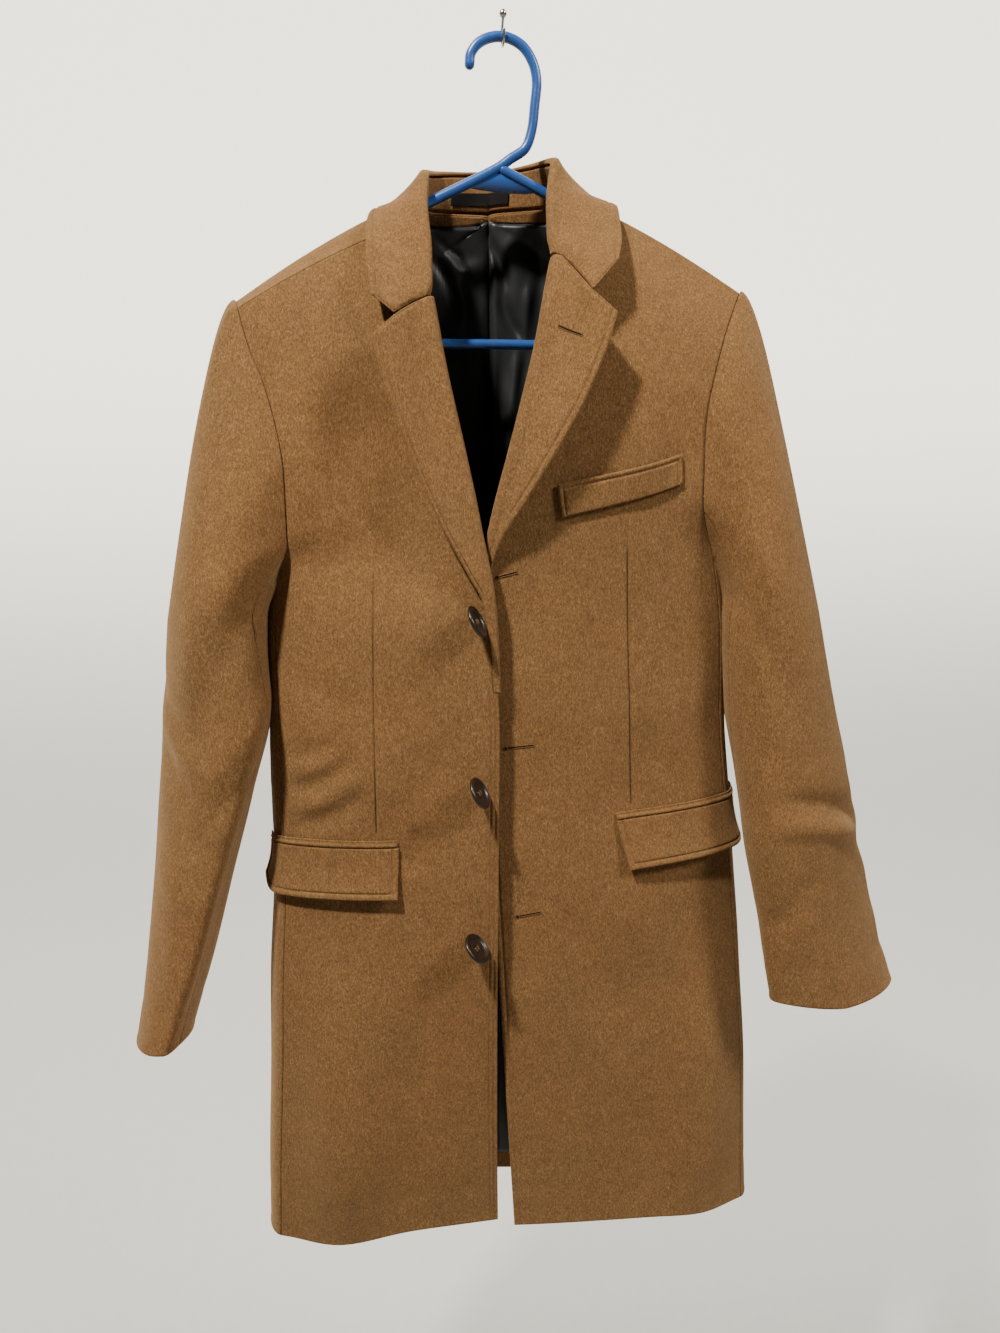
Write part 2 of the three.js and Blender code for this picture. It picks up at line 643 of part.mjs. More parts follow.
// ---------------------------------------------------------------- inside the back
// A strip of wool below the neck seam, then the lining in two halves. All lie against the back panels.
const FACING = 1.5;
const INSIDE = { start: 2.1, strip: 1.13, across: 0.09 };
const stripBottom = (w) => [INSIDE.across * (1 - w * w), INSIDE.start + INSIDE.strip * w];
for (const side of SIDES) {
  const { surface, normal } = skins[side].back;
  const behind = -(CLOTH + LOOSE);
  const strip = (u, v) => [lerp(0.005, stripBottom(v)[0], u), lerp(INSIDE.start + v * (3 - INSIDE.start), stripBottom(v)[1], u)];
  const halfLining = (u, v) => {
    const w = clamp((v - INSIDE.start) / INSIDE.strip, 0, 1);
    return [lerp(INSIDE.across * (1 - w * w), 0.985, u), v];
  };
  const onBack = (map, from) => ({
    surface: (u, v) => surface(...map(u, v)),
    normal: (u, v) => normal(...map(u, v)),
    lift: () => from,
  });
  const facing = onBack(strip, behind);
  const edge = 0.07;
  add(
    `neck_facing_${side}`,
    wall(facing.surface, facing.normal, [edge, 0.5, 1 - edge], steps(0, 0.985, 6), FACING, facing.lift),
    WOOL,
  );
  const lined = onBack(halfLining, behind);
  const hem = HEM + BACK_SHIFT - HANG_HEM / 123;
  const rows = [INSIDE.start, 2.4, 2.7, ...rowsBetween(3, hem, PER_ROW_BACK)];
  const [u] = inset(lined.surface, steps(0, 1, 9), rows, HALF_SEAM);
  add(`lining_back_${side}`, wall(lined.surface, lined.normal, u, rows, LINING, lined.lift), SATIN);
}

// The collar's label, bare, on the inner face of the stand, and the size tag below the neck seam.
const LABEL_AT = { foot: 0.2, top: 0.55, from: 4.32, to: 5.42, thick: 0.8 };
add(
  "label",
  wall(
    stand,
    standNormal,
    steps(LABEL_AT.foot, LABEL_AT.top, 1),
    steps(LABEL_AT.from, LABEL_AT.to, 6),
    LABEL_AT.thick,
    () => -(CLOTH + 2 * OVER),
  ),
  LABEL,
);

// ---------------------------------------------------------------- patches on the panels
// The place (u, v) of a surface that is seen at x and z.
function placeAt(surface, x, z, guess) {
  let [u, v] = guess;
  const step = 1e-3;
  for (let k = 0; k < 30; k++) {
    const p = surface(u, v);
    const du = surface(u + step, v).sub(p).divideScalar(step);
    const dv = surface(u, v + step).sub(p).divideScalar(step);
    const det = du.x * dv.z - dv.x * du.z;
    u += clamp(((x - p.x) * dv.z - dv.x * (z - p.z)) / det, -0.2, 0.2);
    v += clamp((du.x * (z - p.z) - (x - p.x) * du.z) / det, -0.5, 0.5);
  }
  return [u, v];
}

// Front and side panel as one skin: w runs from 0 to 1 on the front and from 1 to 2 on the side.
function round(side) {
  const { front: f, side: s } = skins[side];
  return {
    surface: (w, v) => (w <= 1 ? f.surface(w, v) : s.surface(w - 1, v)),
    normal: (w, v) => (w <= 1 ? f.normal(w, v) : s.normal(w - 1, v)),
  };
}
function walk(surface, w, v, distance) {
  const step = 0.005 * Math.sign(distance);
  let gone = 0;
  while (Math.abs(gone) < Math.abs(distance)) {
    gone += Math.sign(step) * surface(w, v).distanceTo(surface(w + step, v));
    w += step;
  }
  return w;
}

// Pockets: x of the inner end, height of the opening at the inner and outer end, length of the flap.
const POCKET = {
  right: { x: -101, innerZ: -697, outerZ: -700, length: 128, guess: [0.5, 7], swing: 0 },
  left: { x: 98, innerZ: -687, outerZ: -678, length: 150, guess: [0.5, 7], swing: 7 },
};
const CORNER = 16; // radius of the flap's outer corner
for (const side of SIDES) {
  const pocket = POCKET[side];
  const skin = round(side);
  const start = placeAt(skin.surface, pocket.x, pocket.innerZ, pocket.guess);
  const rowAt = (w, z) => {
    let v = start[1];
    for (let k = 0; k < 12; k++) v -= (skin.surface(w, v).z - z) / (skin.surface(w, v + 0.5).z - skin.surface(w, v - 0.5).z);
    return v;
  };
  // a is the distance along the opening and b the distance below it
  const spot = (a, b) => {
    const w = walk(skin.surface, start[0], start[1], Math.max(a + (pocket.swing * b) / FLAP.height, 0.01));
    return [w, rowAt(w, lerp(pocket.innerZ, pocket.outerZ, a / pocket.length) - b)];
  };
  const flapSpot = (u, v) => {
    const a = u * pocket.length;
    const near = Math.max(0, a - (pocket.length - CORNER));
    const rise = CORNER - Math.sqrt(Math.max(CORNER ** 2 - near ** 2, 0));
    return spot(a, v * (FLAP.height - rise * 0.9));
  };
  const stretch = steps(0, 0.88, 9).concat([0.93, 0.97, 1]);
  const cache = new Map();
  const once = (map) => (u, v) => {
    const key = `${map.name} ${u.toFixed(6)} ${v.toFixed(6)}`;
    if (!cache.has(key)) cache.set(key, map(u, v));
    return cache.get(key);
  };
  const flapAt = once(flapSpot);
  add(
    `flap_${side}`,
    wall(
      (u, v) => skin.surface(...flapAt(u, v)),
      (u, v) => skin.normal(...flapAt(u, v)),
      stretch,
      [0, 0.3, 0.65, 1],
      CLOTH,
      (u, v) => CLOTH + SEAM + OVER + FLAP.proud * v * v,
    ),
    WOOL,
  );
  const jetSpot = (u, v) => spot(u * pocket.length * 0.99 + 1, -SEAM - JET.height * (1 - v));
  const jetAt = once(jetSpot);
  add(
    `jet_${side}`,
    wall(
      (u, v) => skin.surface(...jetAt(u, v)),
      (u, v) => skin.normal(...jetAt(u, v)),
      steps(0, 1, 9),
      [0, 1],
      JET.proud,
      () => JET.proud + SEAM + 2 * OVER,
    ),
    WOOL,
  );
}

// The chest welt, by the x and z of its corners as seen from the front.
const WELT_CORNERS = { innerTop: [38, -383], outerTop: [150, -357], innerFoot: [42, -411], outerFoot: [152, -383] };
{
  const { surface, normal } = skins.left.front;
  const corner = (name) => placeAt(surface, ...WELT_CORNERS[name], [0.5, 4]);
  const [a, b, c, d] = ["innerTop", "outerTop", "innerFoot", "outerFoot"].map(corner);
  const spot = (u, v) => [0, 1].map((k) => lerp(lerp(a[k], b[k], u), lerp(c[k], d[k], u), v));
  add(
    "chest_welt",
    wall(
      (u, v) => surface(...spot(u, v)),
      (u, v) => normal(...spot(u, v)),
      steps(0, 1, 5),
      [0, 0.5, 1],
      CLOTH,
      () => CLOTH + SEAM + OVER + WELT.proud,
    ),
    WOOL,
  );
}

// The size tag, bare, hangs below the neck seam in front of the lining.
const TAG = { x: [-22, -11], z: [-153, -167], thick: 0.5 };
{
  const { surface, normal } = skins.right.back;
  const corner = (i, j) => placeAt(surface, TAG.x[i], TAG.z[j], [0.05, 3.2]);
  const [a, b, c, d] = [corner(0, 0), corner(1, 0), corner(0, 1), corner(1, 1)];
  const spot = (u, v) => [0, 1].map((k) => lerp(lerp(a[k], b[k], u), lerp(c[k], d[k], u), v));
  add(
    "size_tag",
    wall(
      (u, v) => surface(...spot(u, v)),
      (u, v) => normal(...spot(u, v)),
      [0, 1],
      [0, 1],
      TAG.thick,
      () => -(CLOTH + LOOSE + FACING + SEAM),
    ),
    LABEL,
  );
}

// ---------------------------------------------------------------- buttons
// Each hangs a little off its stitches: x and z as seen from the front, lean to the left front, nod up or down.
const BUTTONS = columns(
  ["name", "x", "z", "lean", "nod"],
  [
    ["button_top", -33, -496, 54, -24],
    ["button_middle", -31, -643, 50, -22],
    ["button_bottom", -34, -786, 44, -26],
  ],
);
const BUTTON_LIFT = 14;
for (const { name, x, z, lean, nod } of BUTTONS) {
  const { surface, normal } = skins.right.front;
  const place = placeAt(surface, x, z, [0.1, 7]);
  const r = BUTTON.diameter / 2;
  const half = BUTTON.thick / 2;
  const profile = [
    [0, -half],
    [r * 0.72, -half],
    [r * 0.96, -half * 0.3],
    [r, half * 0.3],
    [r * 0.93, half * 0.95],
    [r - BUTTON.rim, half * 0.8],
    [r - BUTTON.rim * 1.5, half * 0.15],
    [0, half * 0.1],
  ].map(([a, b]) => new THREE.Vector2(a, b));
  let disc = manifoldOf(new THREE.LatheGeometry(profile, 24));
  for (let k = 0; k < BUTTON.holes; k++) {
    const angle = (2 * Math.PI * (k + 0.5)) / BUTTON.holes;
    const hole = new THREE.CylinderGeometry(BUTTON.hole, BUTTON.hole, BUTTON.thick * 2, 8);
    hole.translate(BUTTON.spread * Math.cos(angle), 0, BUTTON.spread * Math.sin(angle));
    disc = disc.subtract(manifoldOf(hole));
  }
  const geometry = geometryOf(disc);
  const axis = normal(...place)
    .applyAxisAngle(vec(0, 0, 1), radians(lean))
    .applyAxisAngle(vec(1, 0, 0), radians(nod));
  geometry.applyQuaternion(new THREE.Quaternion().setFromUnitVectors(vec(0, 1, 0), axis));
  geometry.translate(...surface(...place).addScaledVector(normal(...place), BUTTON_LIFT));
  add(name, geometry, HORN);
}

// ---------------------------------------------------------------- hanger and screw hook
function rod(points, diameter, perPoint) {
  const path = new THREE.CatmullRomCurve3(points, false, "centripetal");
  const circle = new THREE.Shape().absarc(0, 0, diameter / 2, 0, 2 * Math.PI);
  const options = { extrudePath: path, steps: Math.round(points.length * perPoint), curveSegments: 5, bevelEnabled: false };
  return manifoldOf(new THREE.ExtrudeGeometry(circle, options));
}
const inPlane = ([x, z]) => vec(x, 0, z);

// The hook from its tip to where its stem runs on into the arm, as x and z.
const HOOK = [
  [-28, -40],
  [-27, -32],
  [-21, -24],
  [-11, -19],
  [2, -18],
  [16, -24],
  [25, -36],
  [28.5, -50],
  [27, -69],
  [24.5, -89],
  [19, -103],
  [6, -112],
];
{
  const apex = [HANGER.apexX, HANGER.apexZ];
  const tip = (way, slope) => [
    apex[0] + way * HANGER.half,
    apex[1] - HANGER.half * Math.tan(radians(slope)),
  ];
  const left = tip(-1, HANGER.slopeLeft); // at -X
  const right = tip(1, HANGER.slopeRight);
  const end = (way, [x, z]) => {
    const deep = (z - HANGER.barZ) / 2;
    return [
      [x - way * 14, z + 14 * Math.tan(radians(HANGER.slopeRight))],
      [x, z - 1],
      [x + way * 7, z - deep * 0.55],
      [x + way * 7, z - deep * 1.35],
      [x, HANGER.barZ + 2],
      [x - way * 12, HANGER.barZ],
    ];
  };
  const onArm = (corner, share) => [
    lerp(apex[0], corner[0], share),
    lerp(apex[1], corner[1], share) + HANGER.bow * Math.sin(Math.PI * share),
  ];
  const first = rod(
    [
      ...HOOK,
      apex,
      onArm(left, 0.33),
      onArm(left, 0.66),
      ...end(-1, left),
      [0, HANGER.barZ],
      ...end(1, right).reverse().slice(0, 2),
    ].map(inPlane),
    TUBE,
    2.2,
  );
  const second = rod(
    [onArm(right, 0.02), onArm(right, 0.35), onArm(right, 0.68), ...end(1, right).slice(0, 5)].map(inPlane),
    TUBE,
    2.5,
  );
  const web = new THREE.Shape([
    [-38, -134],
    [-4, -117],
    [38, -137],
    [20, -139],
    [0, -139],
    [-20, -137],
  ].map(([x, z]) => new THREE.Vector2(x, z)));
  const plate = new THREE.ExtrudeGeometry(web, { depth: 3.4, bevelEnabled: false }).translate(0, 0, -1.7).rotateX(Math.PI / 2);
  add("hanger", geometryOf(first.add(second).add(manifoldOf(plate))), PLASTIC);
}

// The screw hook seen from the side, as y and z: round behind the hanger's hook and up in front of it.
const SCREW_HOOK = [
  [0, -0.5],
  [0.2, -3.5],
  [3.6, -7.5],
  [6.8, -12.5],
  [6.9, -18],
  [4.6, -22.6],
  [0, -24.5],
  [-4.6, -22.8],
  [-6.9, -18.6],
  [-7.6, -15],
];
{
  const wire = rod(
    SCREW_HOOK.map(([y, z]) => vec(0, y, z)),
    WIRE,
    3,
  );
  const disc = new THREE.CylinderGeometry(4, 4, 1, 20).rotateX(Math.PI / 2).translate(0, 0, -0.5);
  add("screw_hook", geometryOf(wire.add(manifoldOf(disc))), NICKEL);
}

export default coat;
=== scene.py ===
"""A wool overcoat on a tubular plastic hanger and a wire screw hook, dressed over its CAD frame.

The tables are the frame's own, in millimetres: +Z up, the front towards -Y, the wearer's right at -X.
Each piece of cloth is a thin wall on the same surface as its solid, with creases, seams and stitching added.
"""
import math

import bpy
import numpy as np
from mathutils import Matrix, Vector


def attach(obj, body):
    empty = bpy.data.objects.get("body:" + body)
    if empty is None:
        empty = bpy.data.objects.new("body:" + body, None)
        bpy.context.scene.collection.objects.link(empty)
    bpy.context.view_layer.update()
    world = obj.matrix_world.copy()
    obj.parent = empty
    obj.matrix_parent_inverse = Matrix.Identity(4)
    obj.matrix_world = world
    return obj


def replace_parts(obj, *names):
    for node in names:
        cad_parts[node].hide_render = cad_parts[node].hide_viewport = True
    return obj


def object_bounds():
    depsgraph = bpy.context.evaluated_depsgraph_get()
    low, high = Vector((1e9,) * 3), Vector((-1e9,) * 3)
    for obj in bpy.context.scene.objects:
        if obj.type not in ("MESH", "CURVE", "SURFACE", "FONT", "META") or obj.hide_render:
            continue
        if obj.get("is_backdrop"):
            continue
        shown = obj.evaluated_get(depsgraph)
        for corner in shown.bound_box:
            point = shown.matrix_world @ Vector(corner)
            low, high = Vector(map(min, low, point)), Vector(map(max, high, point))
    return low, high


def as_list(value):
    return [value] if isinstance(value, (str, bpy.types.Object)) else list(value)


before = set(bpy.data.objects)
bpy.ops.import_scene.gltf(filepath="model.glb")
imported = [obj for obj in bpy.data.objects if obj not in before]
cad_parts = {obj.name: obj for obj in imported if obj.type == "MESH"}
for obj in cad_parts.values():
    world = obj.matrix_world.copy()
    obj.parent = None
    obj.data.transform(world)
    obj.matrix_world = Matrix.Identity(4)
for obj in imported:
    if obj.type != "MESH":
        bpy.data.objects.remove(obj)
cad_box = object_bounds()

# ---------------------------------------------------------------- camera
CAMERA = {"at": (-0.1140, -0.9082, -0.3730), "pitch": 11, "yaw": 7, "lens": 27.0}
lens = bpy.data.cameras.new("camera")
lens.lens = CAMERA["lens"]
lens.sensor_width = 36
camera = bpy.data.objects.new("camera", lens)
camera.location = CAMERA["at"]
camera.rotation_euler = (math.radians(90 - CAMERA["pitch"]), 0, math.radians(-CAMERA["yaw"]))
bpy.context.scene.collection.objects.link(camera)
bpy.context.scene.camera = camera

# ---------------------------------------------------------------- sizes, mm
CLOTH = 2.5  # one layer of the wool with its canvas
TURNED = 3.0  # lapel and collar
LINING = 1.0
SEAM = 0.3  # between pieces that meet
ROLL = 4.6  # outer radius of the fold of a lapel or of the collar
OVER = 0.5  # between pieces that lie on each other
LOOSE = 1.2  # between the back and what lies inside it
NECK_FACING = 1.5
HANG_HEM = 20  # from the end of the lining down to the coat's hem
STEP = 3.5  # of the grids

SIDES = ("right", "left")
SIGN = {"right": 1, "left": -1}
UNDERARM = 5  # row of the front tables; the back tables have one row more above it
HEM = 11
BACK_SHIFT = 1


def table(names, rows):
    return {name: np.array([row[i] for row in rows], float) for i, name in enumerate(names.split())}


# Rows of a panel: its inner and its outer point, by how many degrees the section turns between them, and how
# far it rises there.
PANEL = "inX inY inZ outX outY outZ turn rise"
FRONT = {
    "right": table(PANEL, [
        [-81, -24, -169, -224, -22, -240, 25, 4],  # shoulder seam
        [-77, -38, -200, -216, -30, -272, 35, 2],
        [-70, -50, -236, -203, -37, -308, 45, 0],  # gorge
        [-60, -57, -292, -190, -44, -372, 50, 0],
        [-46, -64, -357, -189, -42, -428, 60, 0],
        [-33, -69, -420, -200, -27, -464, 70, 0],  # underarm
        [-18, -76, -500, -204, -32, -520, 68, 0],  # break of the lapel
        [-12, -78, -600, -202, -37, -600, 68, 0],  # waist
        [-13, -77, -700, -202, -40, -700, 68, 0],  # pocket
        [-14, -75, -840, -208, -41, -840, 68, 0],
        [-13, -66, -970, -216, -42, -970, 68, 0],
        [-11, -56, -1093, -222, -38, -1104, 68, 0],  # hem
    ]),
    "left": table(PANEL, [
        [62, -4, -141, 212, -5, -217, 25, 4],
        [57, -20, -166, 200, -19, -240, 35, 2],
        [42, -39, -200, 187, -32, -272, 45, 0],
        [26, -56, -272, 174, -43, -330, 50, 0],
        [7, -63, -345, 173, -44, -392, 60, 0],
        [-14, -62, -420, 188, -30, -448, 70, 0],
        [-30, -60, -500, 198, -28, -520, 68, 0],
        [-24, -62, -600, 203, -26, -600, 68, 0],
        [-19, -62, -700, 212, -24, -690, 68, 0],
        [-11, -62, -840, 230, -22, -840, 68, 0],
        [-3, -60, -970, 242, -22, -970, 68, 0],
        [5, -56, -1101, 248, -26, -1117, 68, 0],
    ]),
}
BACK = {
    "right": table(PANEL, [
        [-81, -24, -169, -224, -22, -240, 25, 4],  # shoulder seam
        [-78, -2, -146, -228, 2, -232, 25, 5],  # top of the shoulder
        [-60, 28, -149, -221, 25, -256, 40, 4],
        [-8, 44, -147, -207, 38, -300, 50, 2],  # nape
        [-7, 49, -200, -198, 43, -350, 55, 0],
        [-6, 52, -300, -197, 40, -410, 60, 0],
        [-5, 50, -420, -203, 20, -460, 68, 0],  # underarm
        [-5, 46, -520, -206, 22, -520, 68, 0],
        [-5, 42, -600, -202, 20, -600, 68, 0],  # waist
        [-5, 40, -700, -203, 20, -700, 68, 0],
        [-4, 36, -840, -212, 18, -840, 68, 0],
        [-3, 30, -970, -219, 14, -970, 68, 0],
        [-2, 24, -1096, -226, 8, -1104, 68, 0],  # hem
    ]),
    "left": table(PANEL, [
        [62, -4, -141, 212, -5, -217, 25, 4],
        [60, 8, -140, 217, 10, -216, 25, 5],
        [45, 30, -143, 211, 28, -240, 40, 4],
        [-8, 44, -147, 198, 40, -282, 50, 2],
        [-7, 49, -200, 188, 44, -330, 55, 0],
        [-6, 52, -300, 186, 42, -390, 60, 0],
        [-5, 50, -420, 193, 22, -444, 68, 0],
        [-5, 46, -520, 203, 24, -520, 68, 0],
        [-5, 42, -600, 206, 24, -600, 68, 0],
        [-5, 40, -700, 216, 24, -690, 68, 0],
        [-4, 36, -840, 234, 20, -840, 68, 0],
        [-3, 30, -970, 246, 16, -970, 68, 0],
        [-2, 24, -1096, 252, 8, -1117, 68, 0],
    ]),
}

# Broad folds that the solids have too: where on the section, how wide there, from which height to which,
# and how proud.
FOLD = "at wide top bottom proud"
FRONT_FOLDS = {
    "right": table(FOLD, [
        [0.62, 0.24, -760, -1250, 20],
        [0.3, 0.16, -300, -520, -5],
        [0.45, 0.12, -560, -700, 4],
        [0.0, 0.12, -560, -960, 3],
    ]),
    "left": table(FOLD, [
        [0.72, 0.2, -800, -1250, 12],
        [0.8, 0.12, -330, -560, -4],
        [0.35, 0.2, -640, -900, 3],
    ]),
}
BACK_FOLDS = {
    "right": table(FOLD, [[0.45, 0.14, -480, -900, -5], [0.62, 0.16, -820, -1250, 8]]),
    "left": table(FOLD, [[0.4, 0.14, -460, -860, -4], [0.66, 0.16, -860, -1250, 7]]),
}

# Rings of a sleeve below the cap: centre, half axes, turn in degrees and slopes of the ring.
RING = "x y z long short spin tipX tipY"
SLEEVE = {
    "right": table(RING, [
        [-257, -15, -500, 61, 37, 14, 0.0, 0.0],
        [-261, -17, -590, 62, 40, 25, 0.02, 0.0],
        [-273, -19, -660, 61, 37, 20, 0.06, 0.0],
        [-288, -23, -740, 60, 31, 13, 0.1, -0.02],
        [-302, -29, -812, 58, 27, 10, 0.14, -0.06],
        [-318, -36, -880, 53, 23, 8, 0.16, -0.12],
    ]),
    "left": table(RING, [
        [252, -15, -500, 58, 40, 30, 0.0, 0.0],
        [266, -20, -590, 59, 44, 40, -0.04, 0.0],
        [281, -27, -660, 61, 42, 52, -0.08, 0.0],
        [294, -34, -735, 65, 35, 60, -0.14, 0.02],
        [308, -40, -808, 66, 30, 66, -0.16, 0.04],
        [322, -46, -878, 67, 27, 72, -0.14, 0.04],
    ]),
}
# Where the armhole passes from front to side panel and from there to the back, and the sleeve's seams.
ARMHOLE = {"front_end": 0.42, "back_start": 0.58}
SLEEVE_SEAMS = {"fore": 0.36, "hind": 0.66}
# The cap, from the armhole to the first ring: how far it stands off, and the handles of its curve.
CAP = {
    "gap": -0.6, "under": 0.3, "start": 17, "down": 0.42, "puff": 0.5, "drop": 0.4,
    "full_drop": 200, "least_share": 0.12, "least_drop": 14,
    "flare": {"right": 0.17, "left": 0.27},
}

# The rim of each lapel, by the row of the fold that it turns over.
EDGE = "hinge x y z"
LAPEL = {
    "right": table(EDGE, [
        [2.0, -115, -73, -266],
        [2.35, -107, -77, -299],
        [3.0, -87, -79, -357],
        [3.9, -63, -80, -413],
        [4.9, -38, -80, -460],
        [5.6, -27.5, -79.2, -480],
        [5.9, -23, -78.6, -500],
        [6.2, -20, -78.3, -522],
        [6.6, -17.6, -78.1, -558],
    ]),
    "left": table(EDGE, [
        [2.0, 84, -79, -246],
        [2.35, 77, -83, -269],
        [3.1, 57, -87, -316],
        [3.9, 32, -85, -361],
        [4.6, 6, -79, -404],
        [5.1, -9.5, -71, -430],
        [5.35, -16.2, -66.6, -448],
        [5.7, -23, -61.4, -475],
    ]),
}
# The collar's fold and rim round the neck, from the right end, 0, to the left end, 10.
COLLAR = table("neck topX topY topZ edgeX edgeY edgeZ", [
    [0, -69, -51, -232, -114, -60, -233],
    [0.9, -67, -41, -197, -118, -47, -201],
    [1.8, -68, -25, -160, -117, -19, -168],
    [2.4, -67, -15, -144, -111, 2, -156],
    [3, -66, -3, -130, -102, 26, -156],
    [4, -54, 24, -122, -74, 54, -172],
    [5, -8, 43, -115, -8, 62, -176],
    [6, 32, 24, -112, 56, 54, -164],
    [7, 43, -2, -116, 91, 24, -145],
    [7.6, 40, -12, -133, 95, 4, -145],
    [8.2, 37, -22, -151, 97, -16, -150],
    [9.1, 36, -33, -178, 95, -44, -180],
    [10, 40, -40, -196, 88, -62, -201],
])
# Where lapel and collar part, and how far out that is from the fold.
NOTCH = {"right": (-96, -68, -249), "left": (65, -71, -228), "share": 0.6}

# ---------------------------------------------------------------- creases
# From (x0, z0) to (x1, z1) as seen from the front, bowed sideways, then half width and height; ridges are
# positive.
CREASE = "x0 z0 x1 z1 bow wide high"
FRONT_CREASES = {
    "right": table(CREASE, [
        [-196, -618, -150, -600, 3, 9, -1.8],
        [-192, -634, -146, -609, 4, 8, 1.8],
        [-192, -650, -138, -611, 5, 9, -2.2],
        [-192, -666, -130, -628, 6, 9, 2.2],
        [-195, -683, -126, -645, 6, 9, -2.2],
        [-60, -600, -95, -700, 8, 22, -2.2],
        [-80, -680, -90, -722, 3, 14, -3.0],
        [-130, -300, -152, -480, 6, 28, -6.0],
        [-112, -290, -78, -480, 0, 34, -7.0],
        [-178, -310, -186, -500, -4, 20, 5.0],
        [-120, -360, -70, -520, -6, 24, 1.8],
        [-190, -540, -135, -575, 4, 14, -1.4],
        [-165, -860, -150, -1080, 8, 22, 3.0],
        [-110, -880, -105, -1090, -6, 26, -3.0],
        [-60, -900, -62, -1080, 5, 24, 2.2],
        [-40, -700, -45, -840, 4, 16, 1.4],
    ]),
    "left": table(CREASE, [
        [150, -310, 120, -420, -8, 22, -2.4],
        [170, -360, 158, -520, 6, 14, 2.0],
        [60, -470, 40, -620, 8, 30, 1.8],
        [130, -600, 90, -690, -10, 24, -2.4],
        [180, -560, 150, -640, 6, 20, 1.8],
        [60, -760, 120, -880, 10, 26, -2.6],
        [110, -740, 170, -850, 8, 18, 2.0],
        [60, -880, 130, -1000, -8, 22, 2.0],
        [20, -900, 28, -1080, 6, 24, -2.2],
        [190, -880, 205, -1090, -6, 22, 2.6],
        [140, -930, 150, -1100, 5, 22, -2.4],
    ]),
}
BACK_CREASES = {
    "right": table(CREASE, [
        [-190, -380, -120, -470, 8, 18, -2.6],
        [-195, -430, -130, -520, 8, 14, 2.2],
        [-60, -200, -95, -330, 8, 24, -2.0],
        [-180, -560, -70, -610, 10, 20, -2.6],
        [-190, -600, -90, -650, 8, 16, 2.2],
        [-120, -720, -125, -1080, 10, 30, -4.0],
        [-55, -780, -60, -1090, -6, 26, 3.4],
        [-175, -800, -185, -1090, 5, 22, 3.0],
    ]),
    "left": table(CREASE, [
        [180, -370, 115, -455, -8, 18, -2.4],
        [185, -420, 125, -500, -8, 14, 2.0],
        [50, -210, 90, -330, -8, 24, -1.8],
        [175, -560, 60, -620, -10, 20, 2.4],
        [185, -600, 80, -660, -8, 16, -2.4],
        [110, -740, 130, -1100, -10, 30, -4.0],
        [50, -800, 60, -1090, 6, 26, 3.0],
        [190, -820, 215, -1100, -5, 22, 3.0],
    ]),
}
# Of the lining of the back, in the opening and below it; ridges are towards the front.
LINING_CREASES = table(CREASE, [
    [-60, -172, -24, -203, 3, 6, 3.2],
    [-54, -163, -20, -186, 4, 7, -2.6],
    [-64, -176, -36, -236, -5, 5, -4.2],
    [-48, -190, -30, -250, -4, 8, 2.6],
    [-14, -162, 8, -216, -6, 5, -4.6],
    [4, -214, 25, -254, 4, 5, -4.2],
    [16, -160, 26, -232, 4, 13, 3.4],
    [32, -200, 26, -258, 2, 4, 3.0],
    [40, -170, 38, -260, 0, 6, -3.0],
    [-42, -250, -30, -420, 5, 16, 2.6],
    [-8, -250, -6, -900, 0, 5, -3.0],
    [4, -262, 2, -420, 0, 6, -3.0],
    [20, -262, 12, -330, 0, 4, 3.0],
    [28, -262, 20, -360, 0, 5, -3.0],
    [-70, -300, -60, -760, 8, 14, 4.0],
    [-110, -340, -100, -900, -8, 16, -4.0],
    [-150, -380, -140, -820, 8, 14, 3.6],
    [60, -300, 70, -760, -8, 14, 4.0],
    [105, -330, 110, -900, 8, 16, -4.0],
    [150, -380, 160, -820, -8, 14, 3.6],
    [-30, -560, -36, -1060, 4, 12, 3.4],
    [30, -560, 34, -1060, -4, 12, 3.4],
    [5, -640, 8, -1060, 3, 8, -3.0],
])
